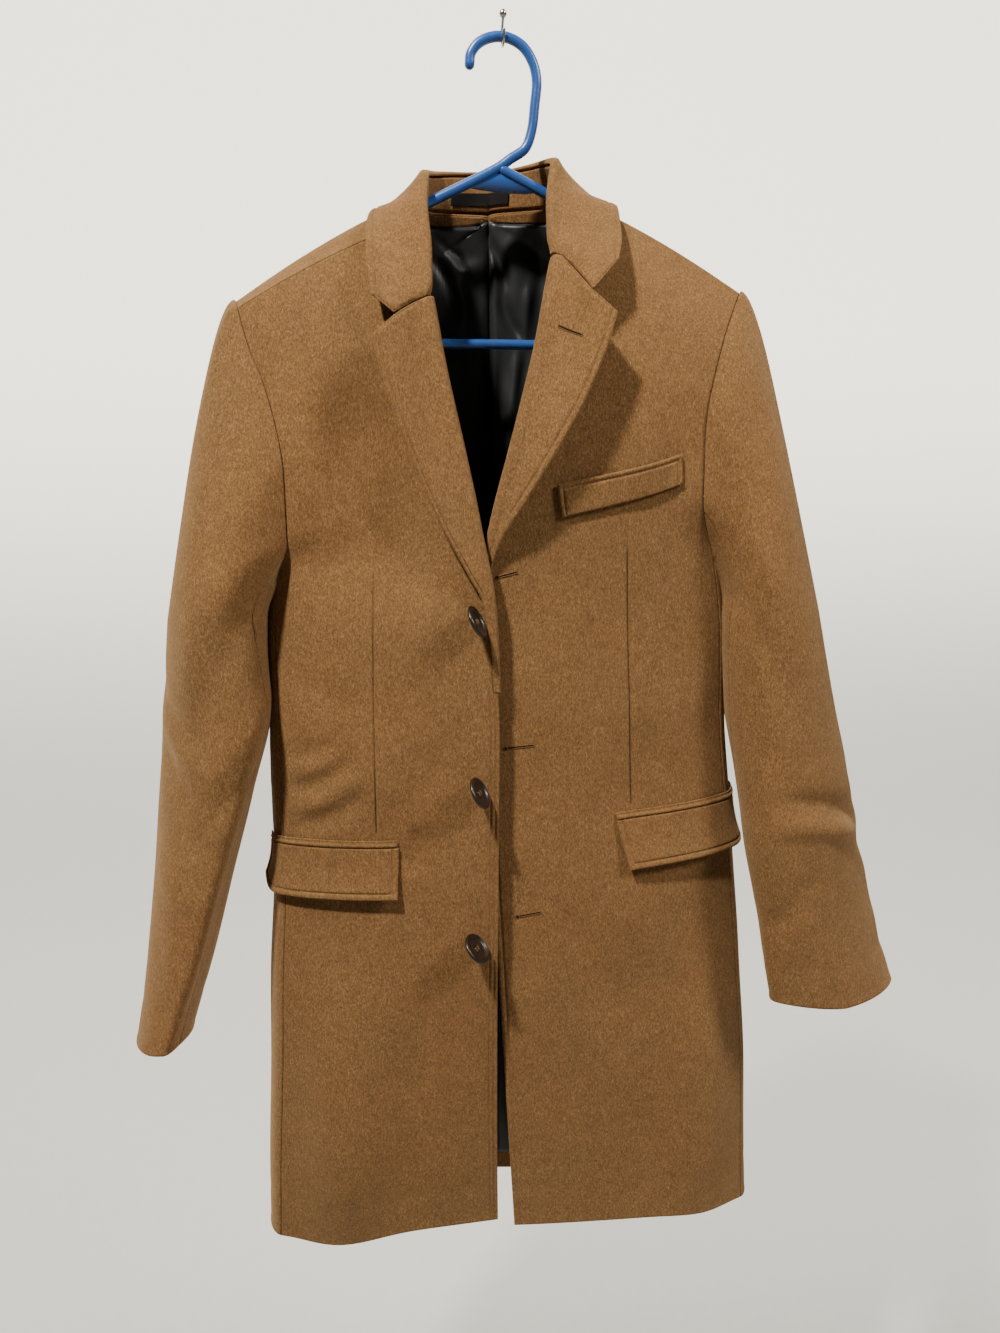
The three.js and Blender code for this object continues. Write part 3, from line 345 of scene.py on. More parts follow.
# Of a sleeve: x is millimetres round it from the shoulder point, forwards, and z the height.
SLEEVE_CREASES = {
    "right": table(CREASE, [
        [40, -300, 70, -470, 8, 16, -2.0],
        [120, -420, 30, -560, 12, 16, 2.4],
        [125, -470, 40, -610, 12, 14, -2.2],
        [130, -560, 50, -650, 10, 13, 2.0],
        [128, -610, 60, -690, 8, 11, -1.8],
        [20, -650, 100, -700, 8, 14, -2.0],
        [15, -700, 90, -740, 8, 12, 2.0],
        [92, -560, 88, -880, -5, 13, 4.0],
        [122, -560, 122, -880, -4, 18, -3.4],
        [30, -760, 80, -850, 8, 16, -1.6],
        [-20, -540, 40, -600, 8, 12, -2.4],
        [-10, -560, 50, -622, 8, 12, 2.4],
        [0, -600, 62, -655, 8, 13, -3.0],
        [152, -452, 146, -612, 0, 42, 4.2],
        [140, -396, 150, -520, 0, 34, 3.4],
        [190, -600, 240, -650, 8, 14, -3.0],
        [185, -640, 245, -690, 8, 12, 2.6],
        [-90, -600, -30, -640, 8, 16, -2.6],
        [-90, -650, -25, -690, 8, 13, 2.2],
    ]),
    "left": table(CREASE, [
        [35, -280, 65, -450, -8, 16, -2.0],
        [110, -400, 40, -540, 12, 16, 2.2],
        [120, -470, 45, -600, 12, 14, -2.2],
        [-34, -722, 58, -692, -8, 9, 4.2],
        [-36, -700, 62, -668, -8, 10, -4.4],
        [20, -730, 80, -800, 8, 14, -2.4],
        [100, -620, 60, -720, 8, 14, 2.0],
        [110, -680, 80, -800, 6, 14, -2.4],
        [20, -700, 60, -840, 8, 20, 2.2],
        [130, -740, 100, -860, 8, 12, 2.0],
        [150, -440, 140, -560, 0, 36, 3.4],
        [140, -530, 102, -760, 0, 40, 6.5],
        [104, -700, 84, -960, 0, 40, 6.0],
        [172, -530, 166, -650, 0, 22, 7.5],
        [-80, -735, -80, -830, 0, 42, 7.5],
        [-80, -812, -80, -960, 0, 42, 7.0],
        [240, -735, 240, -830, 0, 42, 7.5],
        [240, -812, 240, -960, 0, 42, 7.0],
        [190, -600, 240, -650, 8, 14, -3.0],
        [185, -640, 245, -690, 8, 12, 2.6],
        [-90, -620, -30, -660, 8, 16, -2.6],
        [-90, -670, -25, -710, 8, 13, 2.2],
    ]),
}
AROUND = 320  # length round a sleeve
# The lower sleeve is pressed flat, and a corner of the cuff turned up, from these rows on.
CUFF_ROWS = {"pressed": 2.5, "over": 2, "corner": 3.2}
CUFF = {"right": {"pressed": 0.15, "corner_up": 0}, "left": {"pressed": 0.5, "corner_up": 9}}
# Points (x, z) of the waist darts.
DARTS = {
    "right": np.array([[-117, -445], [-119, -512], [-120, -582], [-120, -686]], float),
    "left": np.array([[103, -422], [107, -517], [110, -589], [114, -675]], float),
}


# ---------------------------------------------------------------- small mathematics on arrays
def lerp(a, b, t):
    return a + (b - a) * t


def smooth(t):
    t = np.clip(t, 0, 1)
    return t * t * (3 - 2 * t)


def bell(x, middle, wide):
    return np.exp(-(((x - middle) / wide) ** 2))


def norm(v):
    return np.linalg.norm(v, axis=-1, keepdims=True)


def unit(v):
    return v / np.maximum(norm(v), 1e-12)


def xyz(x, y, z):
    return np.stack(np.broadcast_arrays(x, y, z), -1).astype(float)


def numbers(*values):
    return [np.array(v, float) for v in np.broadcast_arrays(*values)]


def length_along(line):
    return np.concatenate([[0], np.cumsum(norm(np.diff(line, axis=0))[:, 0])])


def at(values, t):
    """A column of a table at a fractional row, smooth and without overshoot."""
    gaps = np.diff(values)
    total = gaps[:-1] + gaps[1:]
    product = gaps[:-1] * gaps[1:]
    inner = np.where(product > 0, 2 * product / np.where(total == 0, 1, total), 0)
    slopes = np.concatenate([gaps[:1], inner, gaps[-1:]])
    i = np.clip(np.floor(t), 0, len(values) - 2).astype(int)
    s = t - i
    s2, s3 = s * s, s * s * s
    low, high = slopes[i] * (s3 - 2 * s2 + s), slopes[i + 1] * (s3 - s2)
    return values[i] * (2 * s3 - 3 * s2 + 1) + low + values[i + 1] * (3 * s2 - 2 * s3) + high


def point_at(rows, prefix, t):
    return xyz(*(at(rows[prefix + axis], t) for axis in "XYZ"))


def row_of(marks, x):
    i = np.clip(np.searchsorted(marks, x, side="right") - 1, 0, len(marks) - 2)
    return i + (x - marks[i]) / (marks[i + 1] - marks[i])


def bezier(p0, p1, p2, p3, t):
    t = t[..., None]
    s = 1 - t
    return p0 * s**3 + 3 * p1 * s * s * t + 3 * p2 * s * t * t + p3 * t**3


def folds_at(folds, u, z):
    total = 0
    for place, wide, top, bottom, proud in zip(*folds.values()):
        along = np.clip((top - z) / (top - bottom), 0, 1)
        total = total + proud * np.sin(np.pi * along) ** 2 * bell(u, place, wide)
    return total


RUN_OUT = {"beyond": 0.15, "over": 0.45}  # of a crease at each end, as shares of its length


def creases_at(creases, x, z):
    """Sum of the creases at a place: soft across, and running out at both ends."""
    total = 0
    beyond, over = RUN_OUT["beyond"], RUN_OUT["over"]
    for x0, z0, x1, z1, bow, wide, high in zip(*creases.values()):
        dx, dz = x1 - x0, z1 - z0
        length = math.hypot(dx, dz)
        t = ((x - x0) * dx + (z - z0) * dz) / length**2
        off = ((x - x0) * dz - (z - z0) * dx) / length - 4 * bow * t * (1 - t)
        ends = smooth((t + beyond) / over) * smooth((1 + beyond - t) / over)
        total = total + high * ends * bell(off, 0, wide)
    return total


# Waves of the faint unevenness: the shortest in mm, by how much each next one is longer, and the height.
RIPPLE = {"shortest": 70, "longer": 14, "full": 250, "high": 0.32}
WAVES = np.random.default_rng(5).normal(size=(14, 3))
WAVE_PHASE = np.random.default_rng(6).uniform(0, 2 * np.pi, 14)


def ripple(p, size=1.0):
    """Faint unevenness that no cloth is without, in millimetres."""
    total = 0
    for k, (wave, phase) in enumerate(zip(WAVES, WAVE_PHASE)):
        length = RIPPLE["shortest"] + RIPPLE["longer"] * k
        way = wave / np.linalg.norm(wave)
        total = total + math.sqrt(length / RIPPLE["full"]) * np.sin(p @ way * 2 * np.pi / length + phase)
    return RIPPLE["high"] * size * total


# ---------------------------------------------------------------- the coat's surfaces
# Broad folds end at the side seam, by this power of u, creases over these rows below the shoulder seam, and
# those of a sleeve over this part of its cap.
FADE = {"folds": 6, "creases": 1.2, "sleeve": 0.5}


def section(rows, folds, outward, creases):
    """u runs from the front edge, neck or centre back to the armhole or side seam, and v is the row."""

    def surface(u, v):
        u, v = numbers(u, v)
        start, end = point_at(rows, "in", v), point_at(rows, "out", v)
        turn = np.radians(at(rows["turn"], v))
        angle = u * turn
        share = np.sin(angle) / np.sin(turn)
        depth = (np.cos(angle) - np.cos(turn)) / (1 - np.cos(turn))
        inside = np.clip(u, 0, 1)
        x, z = (lerp(start[..., k], end[..., k], share) for k in (0, 2))
        y = lerp(end[..., 1], start[..., 1], depth)
        y = y + outward * (1 - inside ** FADE["folds"]) * folds_at(folds, u, z)
        p = xyz(x, y, z + at(rows["rise"], v) * np.sin(np.pi * inside))
        along_x = (end[..., 0] - start[..., 0]) * np.cos(angle) / np.sin(turn)
        along_y = (end[..., 1] - start[..., 1]) * np.sin(angle) / (1 - np.cos(turn))
        away = unit(xyz(-along_y, along_x, 0))
        away = away * np.sign(away[..., 1:2] * outward)
        high = (creases_at(creases, x, z) + ripple(p)) * smooth(v / FADE["creases"])
        return p + away * high[..., None]

    return surface


front = {s: section(FRONT[s], FRONT_FOLDS[s], -1, FRONT_CREASES[s]) for s in SIDES}
back = {s: section(BACK[s], BACK_FOLDS[s], 1, BACK_CREASES[s]) for s in SIDES}


def side_panel(before, after, handle=0.3, scoop=9, step=1e-3):
    """From the front's side seam at u = 0 to the back's at u = 1, carrying on smoothly from both."""

    def surface(u, v):
        u, v = numbers(u, v)
        one = np.ones_like(v)
        p0, p3 = before(one, v), after(one, v + BACK_SHIFT)
        reach = handle * norm(p3 - p0)
        p1 = p0 + unit(p0 - before(one - step, v)) * reach
        p2 = p3 + unit(p3 - after(one - step, v + BACK_SHIFT)) * reach
        p = bezier(p0, p1, p2, p3, np.clip(u, 0, 1))
        p[..., 2] = lerp(p0[..., 2], p3[..., 2], u)
        p[..., 2] -= scoop * np.sin(np.pi * u) * np.clip(UNDERARM + 1 - v, 0, 1)
        return p

    return surface


side = {s: side_panel(front[s], back[s]) for s in SIDES}


def armhole(name, a):
    """Once round the armhole for a from 0 to 1: down the front, under the arm and up the back."""
    share = a - np.floor(a)
    end, start = ARMHOLE["front_end"], ARMHOLE["back_start"]
    one = np.ones_like(share)
    ahead = front[name](one, UNDERARM * share / end)
    below = side[name]((share - end) / (start - end), UNDERARM * one)
    behind = back[name](one, (UNDERARM + BACK_SHIFT) * (1 - share) / (1 - start))
    pick = share[..., None]
    return np.where(pick <= end, ahead, np.where(pick < start, below, behind))


def ring_ways(name, t):
    """Forwards and sideways in the ring of a sleeve at row t, which is turned by its spin."""
    out, spin = -SIGN[name], np.radians(at(SLEEVE[name]["spin"], t))
    return xyz(-out * np.sin(spin), -np.cos(spin), 0), xyz(out * np.cos(spin), -np.sin(spin), 0)


def ring(name, a, t):
    rows, cuff, angle = SLEEVE[name], CUFF[name], 2 * np.pi * a
    forward, sideways = ring_ways(name, t)
    flatter = cuff["pressed"] * smooth((t - CUFF_ROWS["pressed"]) / CUFF_ROWS["over"])
    across = np.cos(angle) * np.abs(np.cos(angle)) ** flatter
    offset = forward * (at(rows["long"], t) * np.sin(angle))[..., None]
    offset = offset + sideways * (at(rows["short"], t) * across)[..., None]
    offset[..., 2] = offset[..., 0] * at(rows["tipX"], t) + offset[..., 1] * at(rows["tipY"], t)
    outer = np.clip(-SIGN[name] * offset[..., 0] / at(rows["long"], t), 0, 1)
    turned_up = smooth((t - CUFF_ROWS["corner"]) / (5 - CUFF_ROWS["corner"]))
    offset[..., 2] += cuff["corner_up"] * outer * turned_up
    return offset + xyz(at(rows["x"], t), at(rows["y"], t), at(rows["z"], t))


def sleeve_of(name):
    """The sleeve's inner face; its wall lies outside it.

    a runs round the sleeve from the shoulder point forwards; t is -1 at the armhole, then the row in SLEEVE.
    """
    out = -SIGN[name]

    def bare(a, t):
        a, t = numbers(a, t)
        angle = 2 * np.pi * a
        start, end = armhole(name, a), ring(name, a, 0 * t)
        drop = start[..., 2] - end[..., 2]
        leave = unit(xyz(out, -np.sin(angle) * CAP["puff"], (np.cos(angle) - 1) * CAP["drop"]))
        low = ((1 - np.cos(angle)) / 2) ** 2
        start[..., 0] += out * (CAP["gap"] + CAP["under"] * low)
        start[..., 2] += low
        reach = CAP["start"] * np.clip(drop / CAP["full_drop"], CAP["least_share"], 1)
        p1 = start + leave * reach[..., None]
        above = xyz(-out * CAP["flare"][name] * np.cos(angle), 0, 1)
        p2 = end + above * (CAP["down"] * np.maximum(drop, CAP["least_drop"]))[..., None]
        cap = bezier(start, p1, p2, end, np.minimum(t + 1, 1))
        return np.where(t[..., None] >= 0, ring(name, a, np.maximum(t, 0)), cap)

    def surface(a, t):
        a, t = numbers(a, t)
        p, angle = bare(a, t), 2 * np.pi * a
        forward, sideways = ring_ways(name, np.maximum(t, 0))
        away = unit(forward * np.sin(angle)[..., None] + sideways * (1.5 * np.cos(angle))[..., None])
        high = creases_at(SLEEVE_CREASES[name], a * AROUND, p[..., 2]) + ripple(p, 1.2)
        return p + away * (smooth((t + 1) / FADE["sleeve"]) * high)[..., None]

    return surface


sleeve = {s: sleeve_of(s) for s in SIDES}


def normal_of(surface, facing, du=0.01, dv=0.1):
    def normal(u, v):
        across = surface(u + du, v) - surface(u - du, v)
        along = surface(u, v + dv) - surface(u, v - dv)
        return unit(np.cross(across, along)) * facing

    return normal


SHARED = 0.04  # how far from a seam, in u or rows, neighbouring panels share their normals
CENTRE_BACK = 2.9  # the back's inner edge is the centre-back seam below this row


def near(distance):
    return np.clip(1 - distance / SHARED, 0, 1)


def mixed(own, other, weight):
    return unit(own + other * weight[..., None])


def seam_normals(name):
    """Normals that neighbouring panels share at their seams, so that their walls don't cross there."""
    sign = SIGN[name]
    plain_front, plain_side, plain_back = (
        normal_of(f, g) for f, g in ((front[name], sign), (side[name], sign), (back[name], -sign))
    )

    def of_front(u, v):
        u, v = numbers(u, v)
        n = mixed(plain_front(u, v), plain_back(u, v), near(v))
        return mixed(n, plain_side(0 * u, v), near(1 - u) * (v >= UNDERARM))

    def of_side(u, v):
        u, v = numbers(u, v)
        n = mixed(plain_side(u, v), plain_front(0 * u + 1, v), near(u))
        return mixed(n, plain_back(0 * u + 1, v + BACK_SHIFT), near(1 - u))

    def of_back(u, v):
        u, v = numbers(u, v)
        n = mixed(plain_back(u, v), plain_front(u, v), near(v))
        n[..., 0] *= 1 - near(u) * (v > CENTRE_BACK)
        low = near(1 - u) * (v >= UNDERARM + BACK_SHIFT)
        return mixed(unit(n), plain_side(0 * u + 1, v - BACK_SHIFT), low)

    return {"front": of_front, "side": of_side, "back": of_back}


normals = {s: seam_normals(s) for s in SIDES}


def on(surface, spot):
    """A surface or its normals, read at the places that spot gives."""
    return lambda u, v: surface(*spot(*numbers(u, v)))


# ---------------------------------------------------------------- grids and walls
SEWN = (0, 0.17, 0.62, 1.25, 2.4)  # grid lines near a seam, mm from it
EDGE_LINES = (0, 0.2, 0.75, 1.5, 2.6, 3.6, 4.4, 5, 5.5, 6, 6.6, 7.4, 8.6)  # near an edge stitched along
FRONT_EDGE = (0, 0.2, 0.75, 1.5, 2.4, 3, 3.5, 4, 4.6, 5.6, 6.6, 7.2, 7.7, 8.2, 8.8, 10)
PLAIN = (0, 0.2, 0.75, 1.5, 3)
HEMMED = (SEWN, SEWN, SEWN, PLAIN)
DART_LINES = np.array([-3.4, -2.0, -1.2, -0.6, 0, 0.6, 1.2, 2.0, 3.4])
# Swells and grooves by the distance from an edge or line, mm: height, place and half width of each.
RELIEF = {
    "stitches": ((-1.0, 5.5, 0.9), (0.35, 2.75, 1.6), (0.2, 8.4, 2.2)),  # pressed, swelling on both sides
    "double": ((-0.9, 3.5, 0.75), (-0.9, 7.7, 0.75), (0.25, 5.6, 1.2)),  # the turned edge, and stitches
    "hem": ((0.5, 2, 3), (-0.35, 42, 6)),  # full lower edge, and where the turned-up hem ends
    "dart": ((-2.1, 0, 0.9), (-0.5, 0, 5)),
    "jet": ((1.3, 2, 2), (-0.5, 5, 0.8)),
}
EDGE_FROM = {"right": -530, "left": -470}  # height at which the stitches of the front edge start
DART_ENDS = {"top": 30, "foot": 6}  # over which a dart runs out
RELIEF_FROM = {"start": 0.3, "over": 1.5}  # mm from a border


def spread(total, near_start, near_end, step, stops=()):
    """Positions from 0 to total for each row: close together at both ends and round each stop."""
    total = np.atleast_1d(np.asarray(total, float))
    groups = [np.asarray(near_start) + 0 * total[:, None]]
    for stop in stops:
        groups.append(stop[:, None] + DART_LINES)
    groups.append(total[:, None] - np.asarray(near_end)[::-1])
    columns = [groups[0]]
    for before, after in zip(groups, groups[1:]):
        room = after[:, :1] - before[:, -1:]
        count = max(1, math.ceil(float(room.max()) / step))
        columns += [before[:, -1:] + room * np.arange(1, count) / count, after]
    return np.concatenate(columns, 1)


def grid(surface, us, vs, close=(SEWN,) * 4, step=STEP, stops=None, gap=0.2):
    """Even rows and columns over us = (from, to) and vs, as parameters u and v.

    They are closer at the borders: start and end of the rows, first and last row.
    """
    fine_v = np.linspace(*vs, 500)
    arc = length_along(surface(np.full(500, sum(us) / 2), fine_v))
    rows = spread(arc[-1] - 2 * gap, close[2], close[3], step)[0] + gap
    v = np.interp(rows, arc, fine_v)
    fine_u = np.linspace(*us, 90)
    net = surface(fine_u[None, :], v[:, None])
    along = norm(np.diff(net, axis=1))[..., 0]
    arcs = np.concatenate([np.zeros((len(v), 1)), np.cumsum(along, 1)], 1)
    places = stops(net, arcs) if stops else ()
    columns = spread(arcs[:, -1] - 2 * gap, close[0], close[1], step, places) + gap
    u = np.array([np.interp(c, a, fine_u) for c, a in zip(columns, arcs)])
    return u, np.broadcast_to(v[:, None], u.shape).copy()


def distances(p):
    """Of each grid point from the four borders: start and end of the rows, first and last row."""
    across = np.cumsum(np.pad(norm(np.diff(p, axis=1))[..., 0], ((0, 0), (1, 0))), 1)
    down = np.cumsum(np.pad(norm(np.diff(p, axis=0))[..., 0], ((1, 0), (0, 0))), 0)
    return across, across[:, -1:] - across, down, down[-1:] - down


def relief_at(kind, distance):
    return sum(high * bell(distance, place, wide) for high, place, wide in RELIEF[kind])


def leaf_line(edge, from_fold):
    """The stitches of a lapel or of the collar, which stop short of the fold."""
    return relief_at("stitches", edge) * smooth((from_fold - 20) / 6)


materials = {}
pieces = {}


def build(name, points, faces, slot):
    """A mesh in metres from points in millimetres, smooth, riding on the one body."""
    mesh = bpy.data.meshes.new(name)
    mesh.vertices.add(len(points))
    mesh.vertices.foreach_set("co", (np.asarray(points, float) / 1000).ravel())
    sizes = [len(f) for f in faces]
    flat = np.concatenate([np.asarray(f) for f in faces]) if isinstance(faces, list) else faces.ravel()
    mesh.loops.add(len(flat))
    mesh.loops.foreach_set("vertex_index", flat.astype(np.int32))
    mesh.polygons.add(len(sizes))
    starts = np.concatenate([[0], np.cumsum(sizes)[:-1]]).astype(np.int32)
    mesh.polygons.foreach_set("loop_start", starts)
    mesh.polygons.foreach_set("use_smooth", np.ones(len(sizes), bool))
    mesh.update(calc_edges=True)
    mesh.validate()
    obj = bpy.data.objects.new(name, mesh)
    bpy.context.scene.collection.objects.link(obj)
    mesh.materials.append(materials[slot])
    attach(obj, "root")
    "wool" if slot in ("thread", "slit") else slot
    pieces[name] = obj
    return obj


def wall(name, surface, normal, uv, thick, slot="wool", lift=0.0, relief=None, inner_relief=None):
    """A closed wall with rounded edges: outer face at lift off the surface, inner face thick below it."""
    u, v = uv
    p, n = surface(u, v), normal(u, v)
    d = distances(p)
    edge = np.minimum(np.minimum(d[0], d[1]), np.minimum(d[2], d[3]))
    thick, lift = (value(u, v) if callable(value) else np.asarray(value) for value in (thick, lift))
    radius = thick / 2
    inset = np.clip(radius - edge, 0, radius)
    drop = (radius - np.sqrt(np.maximum(radius**2 - inset**2, 0)))[..., None]
    inside = smooth((edge - RELIEF_FROM["start"]) / RELIEF_FROM["over"])
    high, deep = (0 * inside if f is None else f(p, d) * inside for f in (relief, inner_relief))
    outer = p + n * ((lift + high)[..., None] - drop)
    inner = p + n * ((lift - thick + deep)[..., None] + drop)
    return shell(name, outer, inner, slot)


def shell(name, outer, inner, slot):
    """Two like grids joined into one closed solid; their borders are one."""
    rows, across = outer.shape[:2]
    index = np.arange(rows * across).reshape(rows, across)
    within = inner[1:-1, 1:-1]
    behind = index.copy()
    behind[1:-1, 1:-1] = rows * across + np.arange(within[..., 0].size).reshape(within.shape[:2])

    def quads(i):
        return np.stack([i[:-1, :-1], i[:-1, 1:], i[1:, 1:], i[1:, :-1]], -1).reshape(-1, 4)

    points = np.concatenate([outer.reshape(-1, 3), within.reshape(-1, 3)])
    faces = np.concatenate([quads(index), quads(behind)[:, ::-1]])
    a, b, c, d = (points[faces[:, k]] for k in range(4))
    volume = sum(np.einsum("ij,ij->", a, np.cross(*pair)) for pair in ((b, c), (c, d)))
    obj = build(name + "_cloth", points, faces if volume >= 0 else faces[:, ::-1], slot)
    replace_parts(obj, name)
    return obj


# ---------------------------------------------------------------- materials
def put(item, values):
    """Links each value that is a socket to the node's input, and sets any other on the input itself."""
    for key, value in values.items():
        socket = item.inputs[key]
        if isinstance(value, bpy.types.NodeSocket):
            item.id_data.links.new(value, socket)
        else:
            socket.default_value = (*value, 1) if socket.type == "RGBA" else value


def shader(name, build_nodes):
    material = bpy.data.materials.new(name)
    material.use_nodes = True
    tree = material.node_tree

    def node(kind, inputs=None, **properties):
        item = tree.nodes.new("ShaderNode" + kind)
        for key, value in properties.items():
            setattr(item, key, value)
        put(item, inputs or {})
        return item

    build_nodes(tree.nodes["Principled BSDF"], node)
    materials[name] = material


def ramp(node, fac, *stops):
    """A colour ramp; each stop is a place and a colour or a grey."""
    item = node("ValToRGB", {"Fac": fac})
    elements = item.color_ramp.elements
    while len(elements) < len(stops):
        elements.new(0.5)
    for element, (place, color) in zip(elements, stops):
        element.position = place
        element.color = (*color, 1) if hasattr(color, "__len__") else (color, color, color, 1)
    return item.outputs["Color"]


def stretched(node, scale=(1, 1, 1)):
    place = node("TexCoord").outputs["Object"]
    return node("Mapping", {"Vector": place, "Scale": scale}).outputs["Vector"]


def noise(node, vector, scale, detail=2.0, rough=0.5, distortion=0.0):
    values = {"Vector": vector, "Scale": scale, "Detail": detail, "Roughness": rough}
    return node("TexNoise", values | {"Distortion": distortion}).outputs["Fac"]


def between(node, value, low, high):
    return node("MapRange", {"Value": value, 3: low, 4: high}).outputs[0]


def bump(node, height, strength, distance, below=None):
    values = {"Height": height, "Strength": strength, "Distance": distance}
    return node("Bump", values if below is None else values | {"Normal": below}).outputs["Normal"]


def mixed_color(node, fac, a, b, blend="MIX"):
    return node("Mix", {"Factor": fac, 6: a, 7: b}, data_type="RGBA", blend_type=blend).outputs[2]


WOOL_MID = (0.155, 0.08, 0.0305)
WOOL_DARK = (0.075, 0.034, 0.011)
WOOL_LIGHT = (0.28, 0.165, 0.077)


def wool_nodes(bsdf, node):
    plain = stretched(node)
    patches = noise(node, plain, 70, 3, 0.6)
    mottle = noise(node, stretched(node, (1, 1, 0.5)), 520, 4, 0.7)
    flecks = noise(node, stretched(node, (1, 1, 0.4)), 1150, 3, 0.6)
    fibres = noise(node, stretched(node, (1, 1, 0.2)), 2600, 2, 0.6)
    drift = noise(node, plain, 9, 2, 0.5)
    base = ramp(node, mottle, (0.3, WOOL_DARK), (0.5, WOOL_MID), (0.74, WOOL_LIGHT))
    base = mixed_color(node, 0.5, WOOL_MID, base)
    for share, pattern, *stops in (
        (1.0, drift, (0.35, (0.98, 1.0, 1.0)), (0.65, (1.02, 0.99, 0.975))),
        (1.0, patches, (0.3, 0.92), (0.7, 1.08)),
        (0.75, flecks, (0.3, 0.6), (0.5, 0.97), (0.68, 1.6)),
        (0.6, fibres, (0.3, 0.6), (0.7, 1.5)),
    ):
        base = mixed_color(node, share, base, ramp(node, pattern, *stops), "MULTIPLY")
    nap = bump(node, flecks, 0.55, 0.0006)
    put(bsdf, {
        "Base Color": base, "Roughness": 0.95, "Specular IOR Level": 0.1,
        "Sheen Weight": 0.2, "Sheen Roughness": 0.5, "Sheen Tint": (0.95, 0.65, 0.38),
        "Normal": bump(node, mottle, 0.4, 0.0012, nap),
    })


def lining_nodes(bsdf, node):
    cloth = stretched(node)
    clouds = noise(node, cloth, 30, 3, 0.5)
    wave = {"Vector": cloth, "Scale": 900.0, "Distortion": 1.5, "Detail": 1.0}
    threads = node("TexWave", wave, wave_type="BANDS", bands_direction="DIAGONAL").outputs["Fac"]
    crumple = noise(node, stretched(node, (1, 1, 0.35)), 28, 4, 0.55, 0.6)
    put(bsdf, {
        "Base Color": ramp(node, clouds, (0.3, (0.009, 0.0098, 0.0108)), (0.75, (0.019, 0.0205, 0.0225))),
        "Roughness": between(node, noise(node, cloth, 55, 3, 0.6), 0.34, 0.5),
        "Specular IOR Level": 0.4, "Sheen Weight": 0.05, "Sheen Roughness": 0.4,
        "Normal": bump(node, crumple, 0.3, 0.004, bump(node, threads, 0.08, 0.0002)),
    })


def label_nodes(bsdf, node):
    wave = {"Vector": stretched(node), "Scale": 700.0, "Distortion": 0.4}
    weave = node("TexWave", wave, bands_direction="Z").outputs["Fac"]
    put(bsdf, {
        "Base Color": ramp(node, weave, (0.2, (0.003, 0.0025, 0.0025)), (0.9, (0.009, 0.008, 0.0075))),
        "Roughness": 0.8, "Specular IOR Level": 0.15, "Normal": bump(node, weave, 0.4, 0.0003),
    })


def button_nodes(bsdf, node):
    place = stretched(node, (1, 1, 2.2))
    streaks = noise(node, place, 90, 4, 0.6, 1.2)
    tones = ((0.3, (0.004, 0.0022, 0.0016)), (0.55, (0.012, 0.006, 0.0035)), (0.8, (0.045, 0.02, 0.009)))
    put(bsdf, {
        "Base Color": ramp(node, streaks, *tones), "Coat Weight": 0.1, "Coat Roughness": 0.15,
        "Roughness": between(node, noise(node, place, 400, 2), 0.3, 0.45),
        "Normal": bump(node, noise(node, place, 500, 3), 0.12, 0.0002),
    })


def hanger_nodes(bsdf, node):
    place = stretched(node)
    clouds, scuffs = noise(node, place, 25, 3), noise(node, stretched(node, (1, 1, 6)), 190, 5, 0.7)
    put(bsdf, {
        "Base Color": ramp(node, clouds, (0.3, (0.014, 0.062, 0.235)), (0.7, (0.021, 0.085, 0.3))),
        "Roughness": between(node, noise(node, place, 160, 4, 0.65), 0.24, 0.42),
        "Subsurface Weight": 0.05, "Subsurface Radius": (0.002, 0.003, 0.006),
        "Normal": bump(node, scuffs, 0.12, 0.0005),
    })


def wire_nodes(bsdf, node):
    place = stretched(node)
    tarnish = noise(node, place, 220, 4, 0.7)
    put(bsdf, {
        "Base Color": ramp(node, tarnish, (0.3, (0.32, 0.29, 0.25)), (0.7, (0.6, 0.57, 0.52))),
        "Metallic": 1.0, "Roughness": between(node, noise(node, place, 600, 3), 0.18, 0.4),
    })


def thread_nodes(bsdf, node):
    place = stretched(node)
    tones = ((0.3, (0.075, 0.036, 0.014)), (0.7, (0.17, 0.088, 0.036)))
    put(bsdf, {
        "Base Color": ramp(node, noise(node, place, 900, 2), *tones), "Roughness": 0.8,
        "Specular IOR Level": 0.2, "Normal": bump(node, noise(node, place, 2500, 2), 0.5, 0.0002),
    })


# Painted shade: a near-black colour for the inside of the buttonholes, where there is only shade, mottled by
# noise.
def painted_shade_nodes(bsdf, node):
    shade_noise = noise(node, stretched(node), 1200, 2)
    tone = ramp(node, shade_noise, (0.3, (0.008, 0.004, 0.002)), (0.7, (0.022, 0.01, 0.004)))
    put(bsdf, {"Base Color": tone, "Roughness": 0.95, "Specular IOR Level": 0.05})


for slot_name, nodes in (
    ("wool", wool_nodes), ("lining", lining_nodes), ("label", label_nodes), ("button", button_nodes),
    ("hanger", hanger_nodes), ("wire", wire_nodes), ("thread", thread_nodes), ("slit", painted_shade_nodes),
):
    shader(slot_name, nodes)

# ---------------------------------------------------------------- panels
def dart_x(name, z):
    return np.interp(z, DARTS[name][::-1, 1], DARTS[name][::-1, 0])


def dart_stop(name):
    """Where each row of the front passes the dart's line."""
    way = -SIGN[name]

    def stops(net, arcs):
        x = dart_x(name, net[:, net.shape[1] // 2, 2])
        return [np.array([np.interp(way * k, way * row[:, 0], arc) for k, row, arc in zip(x, net, arcs)])]

    return stops


def hem_relief(p, d):
    return relief_at("hem", d[3])


def front_relief(name):
    top, foot = DARTS[name][0, 1], DARTS[name][-1, 1]

    def relief(p, d):
        x, z = p[..., 0], p[..., 2]
        inside = smooth((top - z) / DART_ENDS["top"]) * smooth((z - foot + 4) / DART_ENDS["foot"])
        groove = relief_at("dart", x - dart_x(name, z)) * inside
        edge = relief_at("double" if name == "right" else "stitches", d[0])
        return groove + edge * smooth((EDGE_FROM[name] - z) / 30) + hem_relief(p, d)

    return relief


